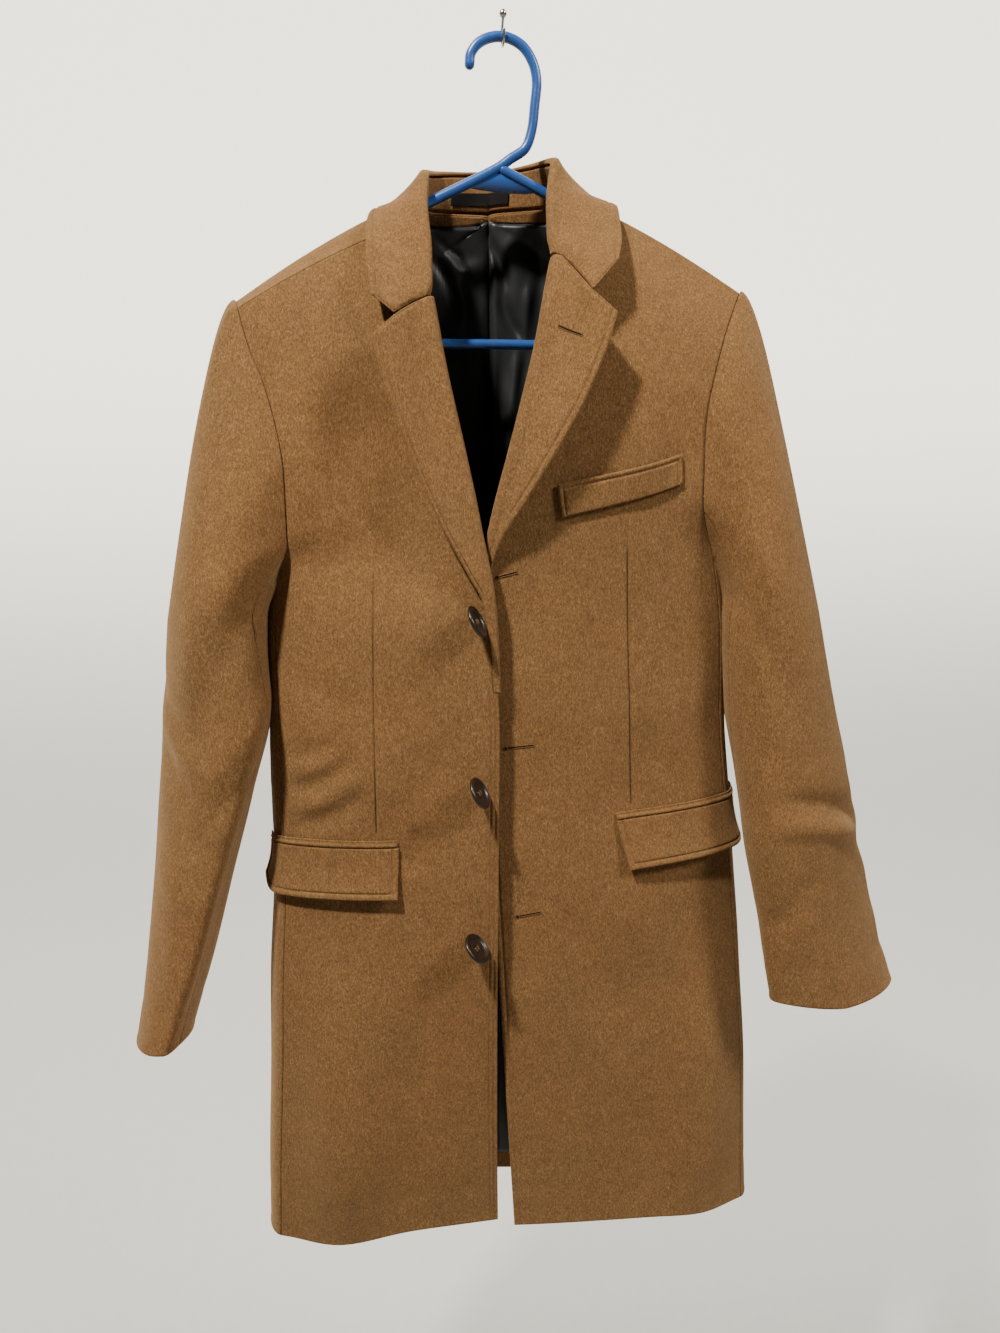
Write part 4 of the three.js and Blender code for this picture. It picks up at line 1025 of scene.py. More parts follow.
for name in SIDES:
    uv = grid(front[name], (0, 1), (0, HEM), (FRONT_EDGE, *HEMMED[1:]), stops=dart_stop(name), gap=0.1)
    wall(f"front_{name}", front[name], normals[name]["front"], uv, CLOTH, relief=front_relief(name))
    uv = grid(side[name], (0, 1), (UNDERARM, HEM), HEMMED, gap=0.1)
    wall(f"side_{name}", side[name], normals[name]["side"], uv, CLOTH, relief=hem_relief)
    uv = grid(back[name], (0, 1), (0, HEM + BACK_SHIFT), HEMMED, step=STEP * 1.2, gap=0.0)
    wall(f"back_{name}", back[name], normals[name]["back"], uv, CLOTH, relief=hem_relief)

# ---------------------------------------------------------------- sleeves
for name in SIDES:
    outward = normal_of(sleeve[name], -SIGN[name])
    for part, around in (
        ("top", (SLEEVE_SEAMS["hind"] - 1, SLEEVE_SEAMS["fore"])),
        ("under", (SLEEVE_SEAMS["fore"], SLEEVE_SEAMS["hind"])),
    ):
        uv = grid(sleeve[name], around, (-1, 5), HEMMED, step=STEP * 1.1)
        wall(f"sleeve_{part}_{name}", sleeve[name], outward, uv, CLOTH, relief=hem_relief, lift=CLOTH)

# ---------------------------------------------------------------- lapels and collar
TURN = 0.3  # share of s that the fold itself takes
NOTCH_AT = TURN + NOTCH["share"] * (1 - TURN)
LEAF = {"leave": 0.3, "arrive": 0.35, "off": 0.05}  # handles of the curve from the fold to the rim
LAPEL_TAIL = {"right": 5.6, "left": 5.1}  # from a row above this the lapel thins out into the front edge
# Its roll and thickness a row above there, there, and at its lower end.
LAPEL_ROLL = (ROLL, 3.6, 1.45)
LAPEL_THICK = (TURNED, TURNED * 0.75, 0.35)
LEAF_LINES = (PLAIN, EDGE_LINES, EDGE_LINES)
STAND = {"foot": 0.06, "start": 0.5, "lower": 0.35}


def leaf(hinge, inward, outward, rim, roll, bend):
    """A leaf that turns over a fold line; s runs from the fold to the rim."""

    def surface(s, h):
        s, h = numbers(s, h)
        radius = (roll(h) + 0 * h)[..., None]
        i, o = inward(h), outward(h)
        centre = hinge(h) + i * SEAM + o * (radius - CLOTH)

        def turned(angle):
            return centre + i * radius * np.sin(angle)[..., None] - o * radius * np.cos(angle)[..., None]

        start, end = turned(0 * h + np.pi), rim(h)
        reach = norm(end - start)
        p1 = start - i * LEAF["leave"] * reach
        p2 = lerp(end, start, LEAF["arrive"]) + o * LEAF["off"] * reach
        flat = bezier(start, p1, p2, end, np.maximum((s - TURN) / (1 - TURN), 0))
        rolled = turned(np.pi * np.minimum(s, TURN) / TURN)
        return np.where(s[..., None] <= TURN, rolled, flat) + bend(s, h)

    return surface


def fade_to(h, end, reach):
    return np.clip(1 - np.abs(h - end) / reach, 0, 1) ** 2


def past_notch(s):
    return (1 - s) / (1 - NOTCH_AT)


def no_bend(s, h):
    return np.zeros(np.shape(s) + (3,))


def lapel_of(name):
    """The lapel's under face, towards the front, its first and last hinge and its thickness."""
    rows, surface, normal = LAPEL[name], front[name], normals[name]["front"]
    first, last = rows["hinge"][0], rows["hinge"][-1]
    tail = (LAPEL_TAIL[name] - 1, LAPEL_TAIL[name], last)

    def inward(h):
        return unit(surface(0, h) - surface(0.02, h))

    def rim(h):
        row = row_of(rows["hinge"], h)
        return xyz(*(at(rows[axis], row) for axis in "xyz"))

    def roll(h):
        return np.interp(h, tail, LAPEL_ROLL)

    parts = [lambda h: surface(0, h), inward, lambda h: normal(0.03 + 0 * h, h), rim, roll]
    to_notch = np.array(NOTCH[name]) - leaf(*parts, no_bend)(NOTCH_AT, first)

    def bend(s, h):
        rising = np.sin(np.pi / 2 * np.clip((s - TURN) / (NOTCH_AT - TURN), 0, 1))
        peak = np.where(s > NOTCH_AT, past_notch(s), rising)
        return to_notch * (fade_to(h, first, 0.9) * peak)[..., None]

    def thick(s, h):
        return np.interp(h, tail, LAPEL_THICK)

    return leaf(*parts, bend), first, last, thick


lapel = {s: lapel_of(s) for s in SIDES}
lapel_out = {s: normal_of(lapel[s][0], SIGN[s]) for s in SIDES}


def lapel_relief(p, d):
    return leaf_line(np.minimum(d[1], d[2] + 4), d[0])


for name in SIDES:
    surface, first, last, thick = lapel[name]
    uv = grid(surface, (0, 1), (first, last), (*LEAF_LINES, PLAIN), step=STEP * 0.8, gap=0.4)
    wall(f"lapel_{name}", surface, lapel_out[name], uv, thick, relief=lapel_relief, lift=thick)


def neck_point(n):
    """Round the neck, from row 2 of the right front over both backs to row 2 of the left front."""
    zero = 0 * n
    ahead, behind = front["right"](zero, 2 - n), back["right"](zero, n - 2)
    behind_left, ahead_left = back["left"](zero, 8 - n), front["left"](zero, n - 8)
    n = n[..., None]
    return np.where(n <= 2, ahead, np.where(n <= 5, behind, np.where(n <= 8, behind_left, ahead_left)))


def collar_point(prefix, n):
    return point_at(COLLAR, prefix, row_of(COLLAR["neck"], n))


def stand(u, n):
    u, n = numbers(u, n)
    return lerp(neck_point(n), collar_point("top", n), u[..., None])


stand_normal = normal_of(stand, 1)


def trimmed_stand(u, n):
    """The stand, lower towards both ends, where the lapels start."""
    u, n = numbers(u, n)
    lower = STAND["lower"] * np.maximum(fade_to(n, 0, 1.6), fade_to(n, 10, 1.6))
    return stand(u * (1 - lower), n)


uv = grid(trimmed_stand, (STAND["foot"], 1), (STAND["start"], 10 - STAND["start"]), gap=0.4)
wall("collar_stand", trimmed_stand, stand_normal, uv, CLOTH)

fall_parts = [
    lambda n: stand(1, n),
    lambda n: unit(stand(1, n) - stand(0.9, n)),
    lambda n: stand_normal(0.95 + 0 * n, n),
    lambda n: collar_point("edge", n),
    lambda n: ROLL,
]
plain_fall = leaf(*fall_parts, no_bend)


def fall_bend(s, n):
    """The end rows of the fall are the lapels' end rows as far as the notch."""
    total = no_bend(s, n)
    for name, end in (("right", 0.0), ("left", 10.0)):
        surface, first, _, _ = lapel[name]
        fade = fade_to(n, end, 0.45 + 0.75 * np.minimum(s / TURN, 1))
        place = np.minimum(s, NOTCH_AT)
        shift = surface(place, first + 0 * s) - plain_fall(place, end + 0 * s)
        total = total + shift * (fade * np.where(s > NOTCH_AT, past_notch(s), 1))[..., None]
    return total


fall = leaf(*fall_parts, fall_bend)


def fall_relief(p, d):
    return leaf_line(np.minimum(d[1], np.minimum(d[2], d[3]) + 4), d[0])


uv = grid(fall, (0.02, 1), (0, 10), (*LEAF_LINES, EDGE_LINES), step=STEP * 0.8, gap=0.5)
wall("collar_fall", fall, normal_of(fall, -1), uv, TURNED, relief=fall_relief)

# ---------------------------------------------------------------- inside the back
# Rows of the back at which the lining starts and ends, the strip's height in rows and its width in u.
INSIDE = {"start": 2.1, "end": HEM + BACK_SHIFT - HANG_HEM / 123, "strip": 1.13, "across": 0.09}
SAG = {"forward": 3.6, "outer": 30, "top": 14, "centre": 4}
LABEL = {"foot": 0.2, "top": 0.55, "from": 4.32, "to": 5.42, "thick": 0.8}


def on_strip(u, v):
    foot_u, foot_v = INSIDE["across"] * (1 - v * v), INSIDE["start"] + INSIDE["strip"] * v
    return lerp(0.005, foot_u, u), lerp(INSIDE["start"] + v * (3 - INSIDE["start"]), foot_v, u)


def on_lining(u, v):
    w = np.clip((v - INSIDE["start"]) / INSIDE["strip"], 0, 1)
    return lerp(INSIDE["across"] * (1 - w * w), 0.985, u), v


def sag(p, d):
    """The lining hangs forward of the back, with its creases, except close to its borders."""
    fade = smooth(d[1] / SAG["outer"]) * smooth(d[2] / SAG["top"]) * smooth(d[0] / SAG["centre"])
    return -fade * (SAG["forward"] + creases_at(LINING_CREASES, p[..., 0], p[..., 2]))


for name in SIDES:
    for piece, spot, us, vs, thick, slot, relief in (
        (f"neck_facing_{name}", on_strip, (0.07, 0.93), (0, 0.985), NECK_FACING, "wool", None),
        (f"lining_back_{name}", on_lining, (0, 1), (INSIDE["start"], INSIDE["end"]), LINING, "lining", sag),
    ):
        placed, facing = on(back[name], spot), on(normals[name]["back"], spot)
        uv = grid(placed, us, vs, gap=0.0)
        wall(piece, placed, facing, uv, thick, slot, -(CLOTH + LOOSE), relief, relief)

across, along = (LABEL["foot"], LABEL["top"]), (LABEL["from"], LABEL["to"])
uv = grid(stand, across, along, ((0, 0.1, 0.4, 1),) * 4, step=2, gap=0)
wall("label", stand, stand_normal, uv, LABEL["thick"], "label", lift=-(CLOTH + 2 * OVER))


# ---------------------------------------------------------------- patches on the panels
def place_at(surface, x, z, guess, step=1e-3):
    """The place (u, v) of a surface that is seen at x and z."""
    u, v = (float(k) for k in guess)
    for _ in range(40):
        p = surface(u, v)
        du, dv = (surface(u + step, v) - p) / step, (surface(u, v + step) - p) / step
        det = du[0] * dv[2] - dv[0] * du[2]
        u += np.clip(((x - p[0]) * dv[2] - dv[0] * (z - p[2])) / det, -0.2, 0.2)
        v += np.clip((du[0] * (z - p[2]) - (x - p[0]) * du[2]) / det, -0.5, 0.5)
        if math.hypot(x - p[0], z - p[2]) < 0.01:
            break
    return u, v


def round_skin(ahead, behind):
    """Front and side panel as one skin: w runs from 0 to 1 on the front and from 1 to 2 on the side."""

    def skin(w, v):
        w, v = numbers(w, v)
        return np.where(w[..., None] <= 1, ahead(np.minimum(w, 1), v), behind(np.maximum(w - 1, 0), v))

    return skin


FLAP = {"height": 46, "proud": 6, "corner": 16}
JET = {"height": 7, "proud": 1.2}
POCKET = {
    "right": {"x": -101, "inner": -697, "outer": -700, "length": 128, "swing": 0},
    "left": {"x": 98, "inner": -687, "outer": -678, "length": 150, "swing": 7},
}


def flap_relief(p, d):
    return relief_at("stitches", np.minimum(np.minimum(d[0], d[1]), d[3]))


def jet_relief(p, d):
    return relief_at("jet", d[3])


def flap_lift(u, v):
    return CLOTH + SEAM + OVER + FLAP["proud"] * v * v


for name in SIDES:
    pocket = POCKET[name]
    surface = round_skin(front[name], side[name])
    normal = round_skin(normals[name]["front"], normals[name]["side"])
    w0, v0 = place_at(surface, pocket["x"], pocket["inner"], (0.5, 7))
    fine_w = np.linspace(w0, 2, 600)
    arc = length_along(surface(fine_w, v0))

    def spot(a, b):
        """a is the distance along the opening and b the distance below it."""
        w = np.interp(np.maximum(a + pocket["swing"] * b / FLAP["height"], 0.01), arc, fine_w)
        z = lerp(pocket["inner"], pocket["outer"], a / pocket["length"]) - b
        v = np.full(w.shape, v0)
        for _ in range(8):
            fall_by = surface(w, v + 0.5)[..., 2] - surface(w, v - 0.5)[..., 2]
            v = v - (surface(w, v)[..., 2] - z) / fall_by
        return w, v

    def flap_spot(u, v):
        a = u * pocket["length"]
        near_end = np.maximum(0, a - (pocket["length"] - FLAP["corner"]))
        rise = FLAP["corner"] - np.sqrt(np.maximum(FLAP["corner"] ** 2 - near_end**2, 0))
        return spot(a, v * (FLAP["height"] - rise * 0.9))

    def jet_spot(u, v):
        return spot(u * pocket["length"] * 0.99 + 1, -SEAM - JET["height"] * (1 - v))

    flap_skin, jet_skin = on(surface, flap_spot), on(surface, jet_spot)
    uv = grid(flap_skin, (0, 1), (0, 1), (EDGE_LINES, EDGE_LINES, SEWN, EDGE_LINES), step=2.4, gap=0)
    wall(f"flap_{name}", flap_skin, on(normal, flap_spot), uv, CLOTH, relief=flap_relief, lift=flap_lift)
    uv = grid(jet_skin, (0, 1), (0, 1), ((0, 0.1, 0.5, 1.2),) * 4, step=1.2, gap=0)
    lift = JET["proud"] + SEAM + 2 * OVER
    wall(f"jet_{name}", jet_skin, on(normal, jet_spot), uv, JET["proud"], relief=jet_relief, lift=lift)

WELT = {"proud": 0.5, "corners": ((38, -383), (150, -357), (42, -411), (152, -383))}
TAG = {"x": (-22, -11), "z": (-153, -167), "thick": 0.5}


def patch(surface, corners, guess):
    """A map from the unit square to the places of four corners: top in, top out, foot in, foot out."""
    a, b, c, d = (np.array(place_at(surface, x, z, guess)) for x, z in corners)
    return lambda u, v: [lerp(lerp(a[k], b[k], u), lerp(c[k], d[k], u), v) for k in (0, 1)]


def welt_relief(p, d):
    return relief_at("stitches", np.minimum(np.minimum(d[0], d[1]), d[2]) + 1)


spot = patch(front["left"], WELT["corners"], (0.5, 4))
skin, lift = on(front["left"], spot), CLOTH + SEAM + OVER + WELT["proud"]
uv = grid(skin, (0, 1), (0, 1), (EDGE_LINES, EDGE_LINES, EDGE_LINES, SEWN), step=2.0, gap=0)
wall("chest_welt", skin, on(normals["left"]["front"], spot), uv, CLOTH, relief=welt_relief, lift=lift)

spot = patch(back["right"], [(x, z) for z in TAG["z"] for x in TAG["x"]], (0.05, 3.2))
skin, lift = on(back["right"], spot), -(CLOTH + LOOSE + NECK_FACING + SEAM)
uv = grid(skin, (0, 1), (0, 1), ((0, 0.1, 0.3, 0.8),) * 4, step=1.5, gap=0)
wall("size_tag", skin, on(normals["right"]["back"], spot), uv, TAG["thick"], "label", lift=lift)


# ---------------------------------------------------------------- solids of revolution, tubes
def bands(count, around):
    """The points' numbers in count rings, the same turned by one, and the faces between the rings."""
    index = np.arange(count * around).reshape(count, around)
    turned = np.roll(index, -1, 1)
    return index, turned, np.stack([index[:-1], turned[:-1], turned[1:], index[1:]], -1).reshape(-1, 4)


def frame_along(path):
    """Unit tangents and two cross directions that don't twist, along a path."""
    tangent = unit(np.gradient(path, axis=0))
    side_way = np.zeros_like(path)
    start = np.array([0.0, 1.0, 0.0]) if abs(tangent[0, 1]) < 0.8 else np.array([1.0, 0.0, 0.0])
    side_way[0] = unit(np.cross(tangent[0], start))
    for k in range(1, len(path)):
        side_way[k] = unit(side_way[k - 1] - tangent[k] * (side_way[k - 1] @ tangent[k]))
    return tangent, side_way, np.cross(tangent, side_way)


def tube(path, radius, around=20):
    """Points and faces of a closed tube with round ends along a path."""
    path = np.asarray(path, float)
    tangent, one, two = frame_along(path)
    bends = np.radians([90, 67, 45, 22])
    head = [path[0] - tangent[0] * radius * math.sin(b) for b in bends]
    tail = [path[-1] + tangent[-1] * radius * math.sin(b) for b in bends[::-1]]
    centres = np.array([*head, *path, *tail])
    shrink = [math.cos(b) for b in bends]
    sizes = radius * np.array([*shrink, *[1] * len(path), *shrink[::-1]])
    pick = np.concatenate([[0] * 4, np.arange(len(path)), [len(path) - 1] * 4])
    angle = np.linspace(0, 2 * np.pi, around, endpoint=False)
    circle = one[pick][:, None] * np.cos(angle)[:, None] + two[pick][:, None] * np.sin(angle)[:, None]
    rings = centres[:, None] + circle * sizes[:, None, None]
    inner = rings[1:-1].reshape(-1, 3)
    index, turned, quads = bands(len(rings) - 2, around)
    first, last = len(inner), len(inner) + 1
    faces = [list(q) for q in quads]
    faces += [[first, b, a] for a, b in zip(index[0], turned[0])]
    faces += [[last, a, b] for a, b in zip(index[-1], turned[-1])]
    return np.concatenate([inner, centres[:1], centres[-1:]]), faces


def joined(parts):
    points, faces, shift = [], [], 0
    for p, f in parts:
        points.append(p)
        faces += [[i + shift for i in face] for face in f]
        shift += len(p)
    return np.concatenate(points), faces


def through(points, count):
    """A smooth curve through points: a centripetal Catmull-Rom spline."""
    p = np.asarray(points, float)
    p = np.concatenate([2 * p[:1] - p[1:2], p, 2 * p[-1:] - p[-2:-1]])
    knots = np.concatenate([[0], np.cumsum(np.sqrt(np.linalg.norm(np.diff(p, axis=0), axis=1)))])
    t = np.linspace(knots[1], knots[-2], count)
    i = np.clip(np.searchsorted(knots, t, side="right") - 1, 1, len(p) - 3)
    t = t[:, None]
    k0, k1, k2, k3 = (knots[i + j][:, None] for j in (-1, 0, 1, 2))
    p0, p1, p2, p3 = (p[i + j] for j in (-1, 0, 1, 2))

    def mix(a, b, low, high):
        return (high - t) / (high - low) * a + (t - low) / (high - low) * b

    a1, a2, a3 = mix(p0, p1, k0, k1), mix(p1, p2, k1, k2), mix(p2, p3, k2, k3)
    return mix(mix(a1, a2, k0, k2), mix(a2, a3, k1, k3), k1, k2)


# ---------------------------------------------------------------- hanger and screw hook
TUBE = 8.6
HANGER = {"half": 199, "apex": (-4, -119), "slope_right": 27.3, "slope_left": 28.3, "bow": 3, "bar": -263}
HOOK = [
    (-28, -40), (-27, -32), (-21, -24), (-11, -19), (2, -18), (16, -24), (25, -36), (28.5, -50), (27, -69),
    (24.5, -89), (19, -103), (6, -112),
]
WEB = [(-38, -134), (-4, -117), (38, -137), (20, -139), (0, -139), (-20, -137)]


def arm_tip(way, slope):
    apex = HANGER["apex"]
    return apex[0] + way * HANGER["half"], apex[1] - HANGER["half"] * math.tan(math.radians(slope))


def arm_end(way, corner):
    """The rod round a lower corner, from the arm to the bar."""
    x, z = corner
    deep = (z - HANGER["bar"]) / 2
    return [
        (x - way * 14, z + 14 * math.tan(math.radians(HANGER["slope_right"]))),
        (x, z - 1),
        (x + way * 7, z - deep * 0.55),
        (x + way * 7, z - deep * 1.35),
        (x, HANGER["bar"] + 2),
        (x - way * 12, HANGER["bar"]),
    ]


def on_arm(corner, share):
    apex = HANGER["apex"]
    bow = HANGER["bow"] * math.sin(math.pi * share)
    return lerp(apex[0], corner[0], share), lerp(apex[1], corner[1], share) + bow


def in_plane(points):
    return np.array([(x, 0, z) for x, z in points], float)


def plate(outline, thick, round_by=0.5):
    """A flat plate in the XZ plane with eased edges."""
    outline, half = np.asarray(outline, float), thick / 2
    centre, count = outline.mean(0), len(outline)
    layers = []
    for y, shrink in ((-half, round_by), (round_by - half, 0), (half - round_by, 0), (half, round_by)):
        pulled = outline + (centre - outline) * (shrink / np.linalg.norm(outline - centre, axis=1).mean())
        layers.append(np.stack([pulled[:, 0], np.full(count, y), pulled[:, 1]], -1))
    faces = [list(range(count)), list(range(4 * count - 1, 3 * count - 1, -1))]
    for k in range(3):
        for i in range(count):
            j = (i + 1) % count
            faces.append([k * count + i, (k + 1) * count + i, (k + 1) * count + j, k * count + j])
    return np.concatenate(layers), faces


left_tip, right_tip = arm_tip(-1, HANGER["slope_left"]), arm_tip(1, HANGER["slope_right"])
left_arm = [on_arm(left_tip, share) for share in (0.33, 0.66)]
right_arm = [on_arm(right_tip, share) for share in (0.02, 0.35, 0.68)]
left_end, right_end = arm_end(-1, left_tip), arm_end(1, right_tip)
first_rod = [*HOOK, HANGER["apex"], *left_arm, *left_end, (0, HANGER["bar"]), *right_end[:3:-1]]
second_rod = [*right_arm, *right_end[:5]]
rods = [tube(through(in_plane(rod), n), TUBE / 2, 24) for rod, n in ((first_rod, 330), (second_rod, 90))]
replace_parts(build("hanger_plastic", *joined([*rods, plate(WEB, 3.4)]), "hanger"), "hanger")

SCREW_HOOK = [
    (0, -0.5), (0.2, -3.5), (3.6, -7.5), (6.8, -12.5), (6.9, -18), (4.6, -22.6), (0, -24.5), (-4.6, -22.8),
    (-6.9, -18.6), (-7.6, -15),
]
WIRE = 2.4
wire = tube(through(np.array([(0, y, z) for y, z in SCREW_HOOK], float), 90), WIRE / 2, 16)
flange = tube([(0, 0, -0.15), (0, 0, -0.4), (0, 0, -0.7)], 3.2, 32)
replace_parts(build("screw_hook_wire", *joined([wire, flange]), "wire"), "screw_hook")

# ---------------------------------------------------------------- buttons
BUTTON = {"diameter": 29, "thick": 4.2, "rim": 2.6, "hole": 1.3, "spread": 2.9, "lift": 14, "around": 72}
# The profile of a button in three stretches: back and edge, as shares of the radius and of half the
# thickness, then the rim's inner slope, in rim widths from the edge, and the flat face.
BUTTON_EDGE = (
    (0.45, -1), (0.72, -0.98), (0.86, -0.72), (0.96, -0.3), (0.995, 0.05), (1, 0.3), (0.985, 0.62),
    (0.95, 0.88), (0.9, 1.0),
)
BUTTON_SLOPE = ((0.85, 0.94), (1.15, 0.66), (1.45, 0.3), (1.9, 0.14))
BUTTON_FACE = {"from": 2.4, "high": 0.1, "rings": 26}
THREAD = {"bar": 0.3, "strand": 0.5, "apart": 0.9}  # radii, the last one of the ring of the shank's strands
# Place, and how the loose buttons lean: degrees turned to the wearer's left and tilted up.
BUTTONS = (
    ("button_top", -33, -496, 69.5, 26),
    ("button_middle", -31, -643, 66, 28),
    ("button_bottom", -34, -786, 61, 40),
)


def button_body():
    """Rings from the middle of the button's back to the middle of its face, with four holes as dimples."""
    r, half, rim, around = BUTTON["diameter"] / 2, BUTTON["thick"] / 2, BUTTON["rim"], BUTTON["around"]
    profile = [(0.01, -half)] + [(r * a, half * b) for a, b in BUTTON_EDGE]
    profile += [(r - rim * a, half * b) for a, b in BUTTON_SLOPE]
    rings = np.linspace(r - rim * BUTTON_FACE["from"], 0.01, BUTTON_FACE["rings"])
    on_face = np.arange(len(profile) + len(rings)) >= len(profile)
    profile = np.array(profile + [(k, half * BUTTON_FACE["high"]) for k in rings])
    turn = np.linspace(0, 2 * np.pi, around, endpoint=False)
    x, y = profile[:, :1] * np.cos(turn), profile[:, :1] * np.sin(turn)
    z = profile[:, 1:] + 0 * turn
    for k in range(4):
        a = 2 * np.pi * (k + 0.5) / 4
        away = np.hypot(x - BUTTON["spread"] * math.cos(a), y - BUTTON["spread"] * math.sin(a))
        z = z - smooth((BUTTON["hole"] + 0.35 - away) / 0.7) * on_face[:, None] * 2.6
    index, _, quads = bands(len(profile), around)
    points = np.stack([x, y, z], -1).reshape(-1, 3)
    return points, [*map(list, quads), list(index[0][::-1]), list(index[-1])]


def button_threads():
    """Two bars of three threads each across the holes."""
    parts = []
    s = BUTTON["spread"] * math.sqrt(0.5)
    top = BUTTON["thick"] / 2 * BUTTON_FACE["high"]
    for way in (-1, 1):
        for shift in (-0.45, 0, 0.45):
            over, hole = way * s + shift, way * s + shift * 0.6
            path = [(hole, -s, top - 1.4), (over, -s + 0.5, top + 0.35), (over, 0, top + 0.7)]
            path += [(over, s - 0.5, top + 0.35), (hole, s, top - 1.4)]
            parts.append(tube(through(path, 12), THREAD["bar"], 8))
    return joined(parts)


for name, x, z, lean, tilt in BUTTONS:
    surface, normal = front["right"], normals["right"]["front"]
    lean, tilt = math.radians(lean), math.radians(tilt)
    axis = np.array([math.sin(lean) * math.cos(tilt), -math.cos(lean) * math.cos(tilt), math.sin(tilt)])
    place = place_at(surface, x, z, (0.1, 7))
    out = normal(*place)
    centre = surface(*place) + out * BUTTON["lift"]
    cross = unit(np.cross((0, 0, 1.0), axis))
    basis = np.stack([cross, np.cross(axis, cross), axis], 1)
    points, faces = button_body()
    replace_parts(build(name + "_horn", points @ basis.T + centre, faces, "button"), name)
    points, faces = button_threads()
    root, tip = surface(*place) + out * 0.2, centre - axis * (BUTTON["thick"] / 2 - 0.3)
    shank = []
    for k in range(5):
        turn = 2 * math.pi * k / 5
        shift = (cross * math.cos(turn) + basis[:, 1] * math.sin(turn)) * THREAD["apart"]
        strand = [root + shift, lerp(root, tip, 0.5) + shift * 0.6, tip + shift]
        shank.append(tube(through(strand, 8), THREAD["strand"], 8))
    build(name + "_thread", *joined([(points @ basis.T + centre, faces), *shank]), "thread")

# ---------------------------------------------------------------- buttonholes
# From the eyelet at the edge inwards: two worked rims of thread, and between them a tube of painted shade.
BUTTONHOLES = (
    ("upper", (-11, -461), (5, -457)),
    ("middle", (-4, -612.5), (20, -611)),
    ("lower", (7, -772), (27, -769.5)),
    ("lapel", (39, -256), (57, -264.5)),
)
HOLE = {"rim": 0.45, "apart": 0.95, "slit": 0.55, "eye": 1.6}

for name, start, end in BUTTONHOLES:
    on_lapel = name == "lapel"
    surface = lapel["left"][0] if on_lapel else front["left"]
    normal = lapel_out["left"] if on_lapel else normals["left"]["front"]
    guess, lift = ((0.7, 2.4), TURNED) if on_lapel else ((0.1, 7), 0)
    line, ups = [], []
    for share in np.linspace(0, 1, 10):
        place = place_at(surface, lerp(start[0], end[0], share), lerp(start[1], end[1], share), guess)
        ups.append(normal(*place))
        line.append(surface(*place) + ups[-1] * lift)
    line, ups = np.array(line), np.array(ups)
    along = unit(line[-1] - line[0])
    across = unit(np.cross(ups, along))
    rims = [line + across * way * HOLE["apart"] + ups * 0.2 for way in (-1, 1)]
    rims.append(line[-1] + across[-1] * np.linspace(-1.1, 1.1, 5)[:, None] + ups[-1] * 0.25)
    # Painted shade: near-black tubes along the cut and in the eyelet stand in for the shade inside the
    # openings.
    slit = [tube(line + ups * 0.05, HOLE["slit"], 8)]
    if not on_lapel:
        eye, turn = line[0] - along * HOLE["eye"] * 0.7, np.linspace(0, 2 * np.pi, 21)[:, None]
        rims.append(eye + (along * np.cos(turn) + across[0] * np.sin(turn)) * HOLE["eye"] + ups[0] * 0.2)
        # Painted shade in the eyelet: a short near-black plug.
        slit.append(tube([eye - ups[0] * k for k in (0.5, 0.2, -0.1)], HOLE["eye"] * 0.75, 12))
    worked = [tube(path, HOLE["rim"], 8) for path in rims]
    build(f"buttonhole_{name}_thread", *joined(worked), "thread")
    build(f"buttonhole_{name}_slit", *joined(slit), "slit")

# ---------------------------------------------------------------- stage
STAGE = {"floor": -1.75, "wall": 3.2, "bend": 1.2, "half": 9.0, "near": -7.0, "top": 6.0}
# The backdrop's glow: lower and upper colour, and how it grows with height and towards the back.
GLOW_LOW, GLOW_HIGH = (0.74, 0.715, 0.635), (2.7, 2.55, 2.1)
GLOW_Z = {1: STAGE["floor"], 2: 0.2, 3: 0.0, 4: 1.0}
GLOW_Y = {1: -0.3, 2: 0.7, 3: 0.1, 4: 1.0}


def sweep_nodes(bsdf, node):
    """Pale, and lit from within towards the top of the backdrop, as paper lit by lamps of its own."""
    place = stretched(node)
    parts = node("SeparateXYZ", {"Vector": place}).outputs
    share, behind = (
        node("MapRange", {"Value": parts[axis], **values}, interpolation_type="SMOOTHSTEP").outputs[0]
        for axis, values in (("Z", GLOW_Z), ("Y", GLOW_Y))
    )
    grain = noise(node, place, 40, 3)
    put(bsdf, {
        "Base Color": ramp(node, grain, (0.3, (0.3, 0.295, 0.28)), (0.7, (0.33, 0.325, 0.31))),
        "Emission Color": mixed_color(node, share, GLOW_LOW, GLOW_HIGH),
        "Emission Strength": behind, "Roughness": 0.95,
    })


shader("backdrop", sweep_nodes)
line = [(STAGE["near"], STAGE["floor"])]
for a in np.linspace(0, math.pi / 2, 25):
    y = STAGE["wall"] - STAGE["bend"] * (1 - math.sin(a))
    line.append((y, STAGE["floor"] + STAGE["bend"] * (1 - math.cos(a))))
line.append((STAGE["wall"], STAGE["top"]))
sweep_points = [(x, y, z) for y, z in line for x in (-STAGE["half"], STAGE["half"])]
sweep_faces = [(2 * k, 2 * k + 1, 2 * k + 3, 2 * k + 2) for k in range(len(line) - 1)]
sweep_mesh = bpy.data.meshes.new("backdrop")
sweep_mesh.from_pydata(sweep_points, [], sweep_faces)
sweep_mesh.polygons.foreach_set("use_smooth", [True] * len(sweep_faces))
sweep_mesh.materials.append(materials["backdrop"])
sweep = bpy.data.objects.new("backdrop", sweep_mesh)
bpy.context.scene.collection.objects.link(sweep)
sweep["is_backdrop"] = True

world = bpy.data.worlds.new("world")
bpy.context.scene.world = world
world.use_nodes = True
put(world.node_tree.nodes["Background"], {"Color": (0.9, 0.88, 0.84), "Strength": 0.015})


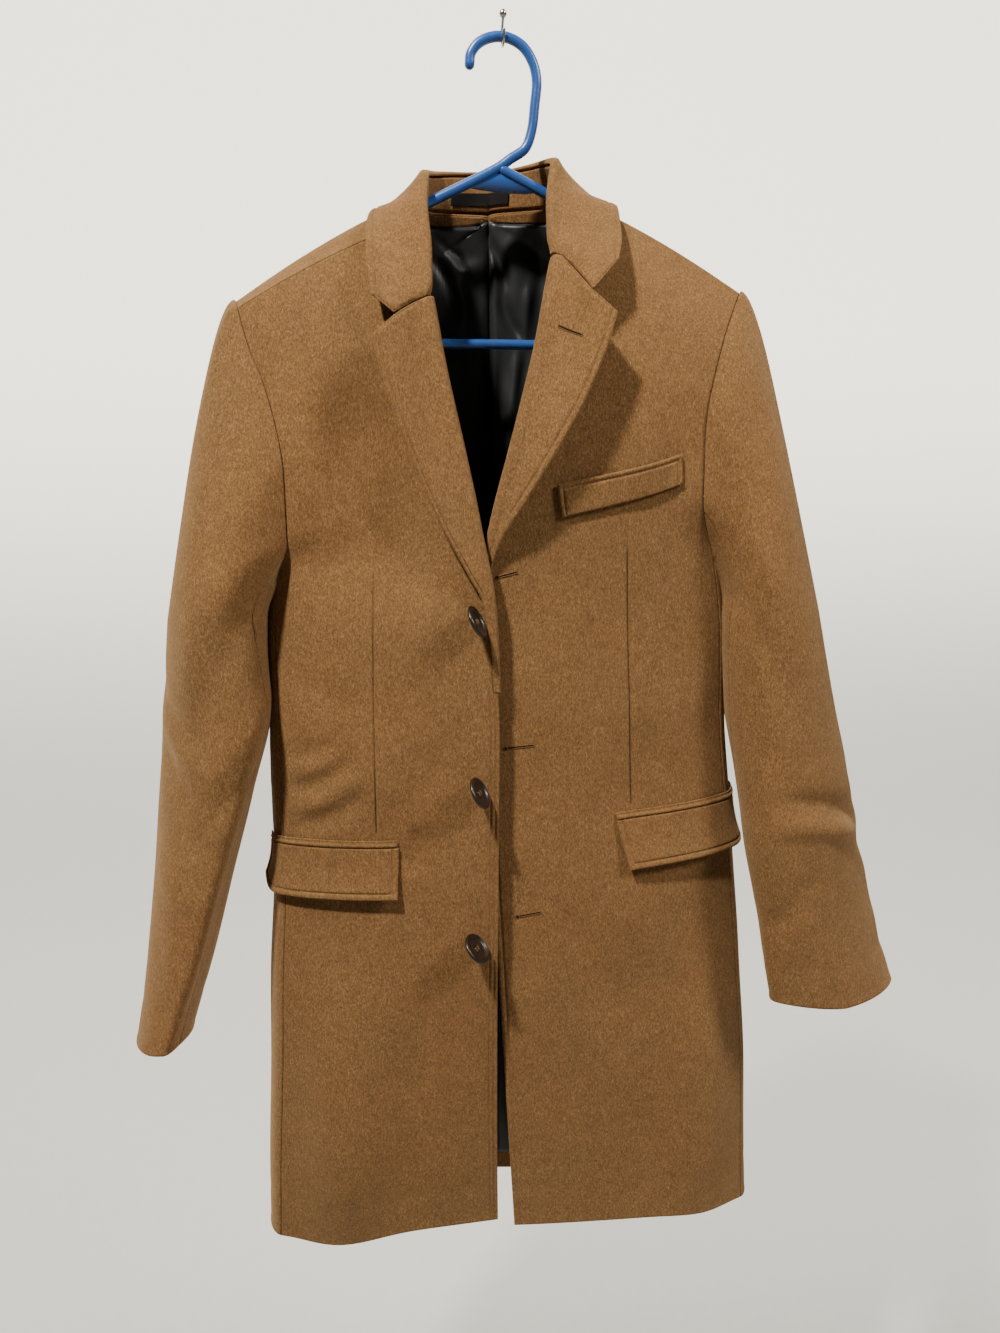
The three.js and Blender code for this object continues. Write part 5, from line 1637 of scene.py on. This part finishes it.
def area_light(name, location, aim, size, energy, color):
    data = bpy.data.lights.new(name, "AREA")
    data.shape = "DISK"
    data.size, data.energy, data.color = size, energy, color
    obj = bpy.data.objects.new(name, data)
    way = np.array(aim, float) - np.array(location, float)
    flat = math.hypot(way[0], way[1])
    obj.location = location
    obj.rotation_euler = (math.atan2(flat, -way[2]), 0, math.atan2(-way[0], way[1]))
    bpy.context.scene.collection.objects.link(obj)


area_light("key", (-1.14, -1.3, 1.8), (0, 0, -0.4), 0.22, 166, (1.0, 0.95, 0.86))
area_light("second", (1.9, -1.3, 1.3), (0, 0, -0.4), 0.7, 70, (1.0, 0.95, 0.88))
area_light("fill", (0.1, -3.2, -0.5), (0, 0, -0.6), 2.2, 1, (1.0, 0.96, 0.92))
area_light("behind", (-0.9, 1.8, 1.6), (0, 0, -0.5), 1.2, 12, (1.0, 0.97, 0.94))

# ---------------------------------------------------------------- the cut of what shows
# Each piece of cloth, {} being its side, how and on what it is held, then for each side its width and
# length laid flat, in metres, and its area in square metres.
CUT = (
    ("front_{}", "hung", "hanger_plastic", (0.220, 0.940, 0.1698), (0.255, 0.985, 0.2082)),
    ("side_{}", "hung", "front_{}_cloth", (0.070, 0.645, 0.0391), (0.062, 0.676, 0.0315)),
    ("back_{}", "hung", "hanger_plastic", (0.255, 1.070, 0.1999), (0.257, 1.040, 0.2148)),
    ("sleeve_top_{}", "hung", "front_{}_cloth", (0.250, 0.670, 0.1298), (0.260, 0.690, 0.1394)),
    ("sleeve_under_{}", "hung", "side_{}_cloth", (0.148, 0.507, 0.0467), (0.174, 0.549, 0.0517)),
    ("lapel_{}", "folded", "front_{}_cloth", (0.093, 0.332, 0.0142), (0.092, 0.288, 0.0134)),
    ("collar_stand", "folded", "hanger_plastic", (0.323, 0.032, 0.0067)),
    ("collar_fall", "folded", "collar_stand_cloth", (0.461, 0.095, 0.0273)),
    ("neck_facing_{}", "hung", "back_{}_cloth", (0.065, 0.015, 0.0004), (0.065, 0.015, 0.0004)),
    ("lining_back_{}", "hung", "back_{}_cloth", (0.258, 0.991, 0.1827), (0.254, 0.990, 0.2007)),
    ("label", "laid", "collar_stand_cloth", (0.055, 0.011, 0.0006)),
    ("flap_{}", "hung", "front_{}_cloth", (0.144, 0.048, 0.0061), (0.169, 0.050, 0.0074)),
    ("jet_{}", "laid", "front_{}_cloth", (0.130, 0.010, 0.0009), (0.152, 0.010, 0.0011)),
    ("chest_welt", "laid", "front_left_cloth", (0.117, 0.028, 0.0031)),
    ("size_tag", "hung", "neck_facing_right_cloth", (0.011, 0.017, 0.00015)),
)
for piece, held, holder, *cuts in CUT:
    for name, (wide, long, area) in zip(SIDES, cuts):
        cloth, holders = pieces[piece.format(name) + "_cloth"], [holder.format(name)]
        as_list(holders)

boxes = {"cad": cad_box, "visual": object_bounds()}
size = {name: [list(map(float, corner)) for corner in box] for name, box in boxes.items()}
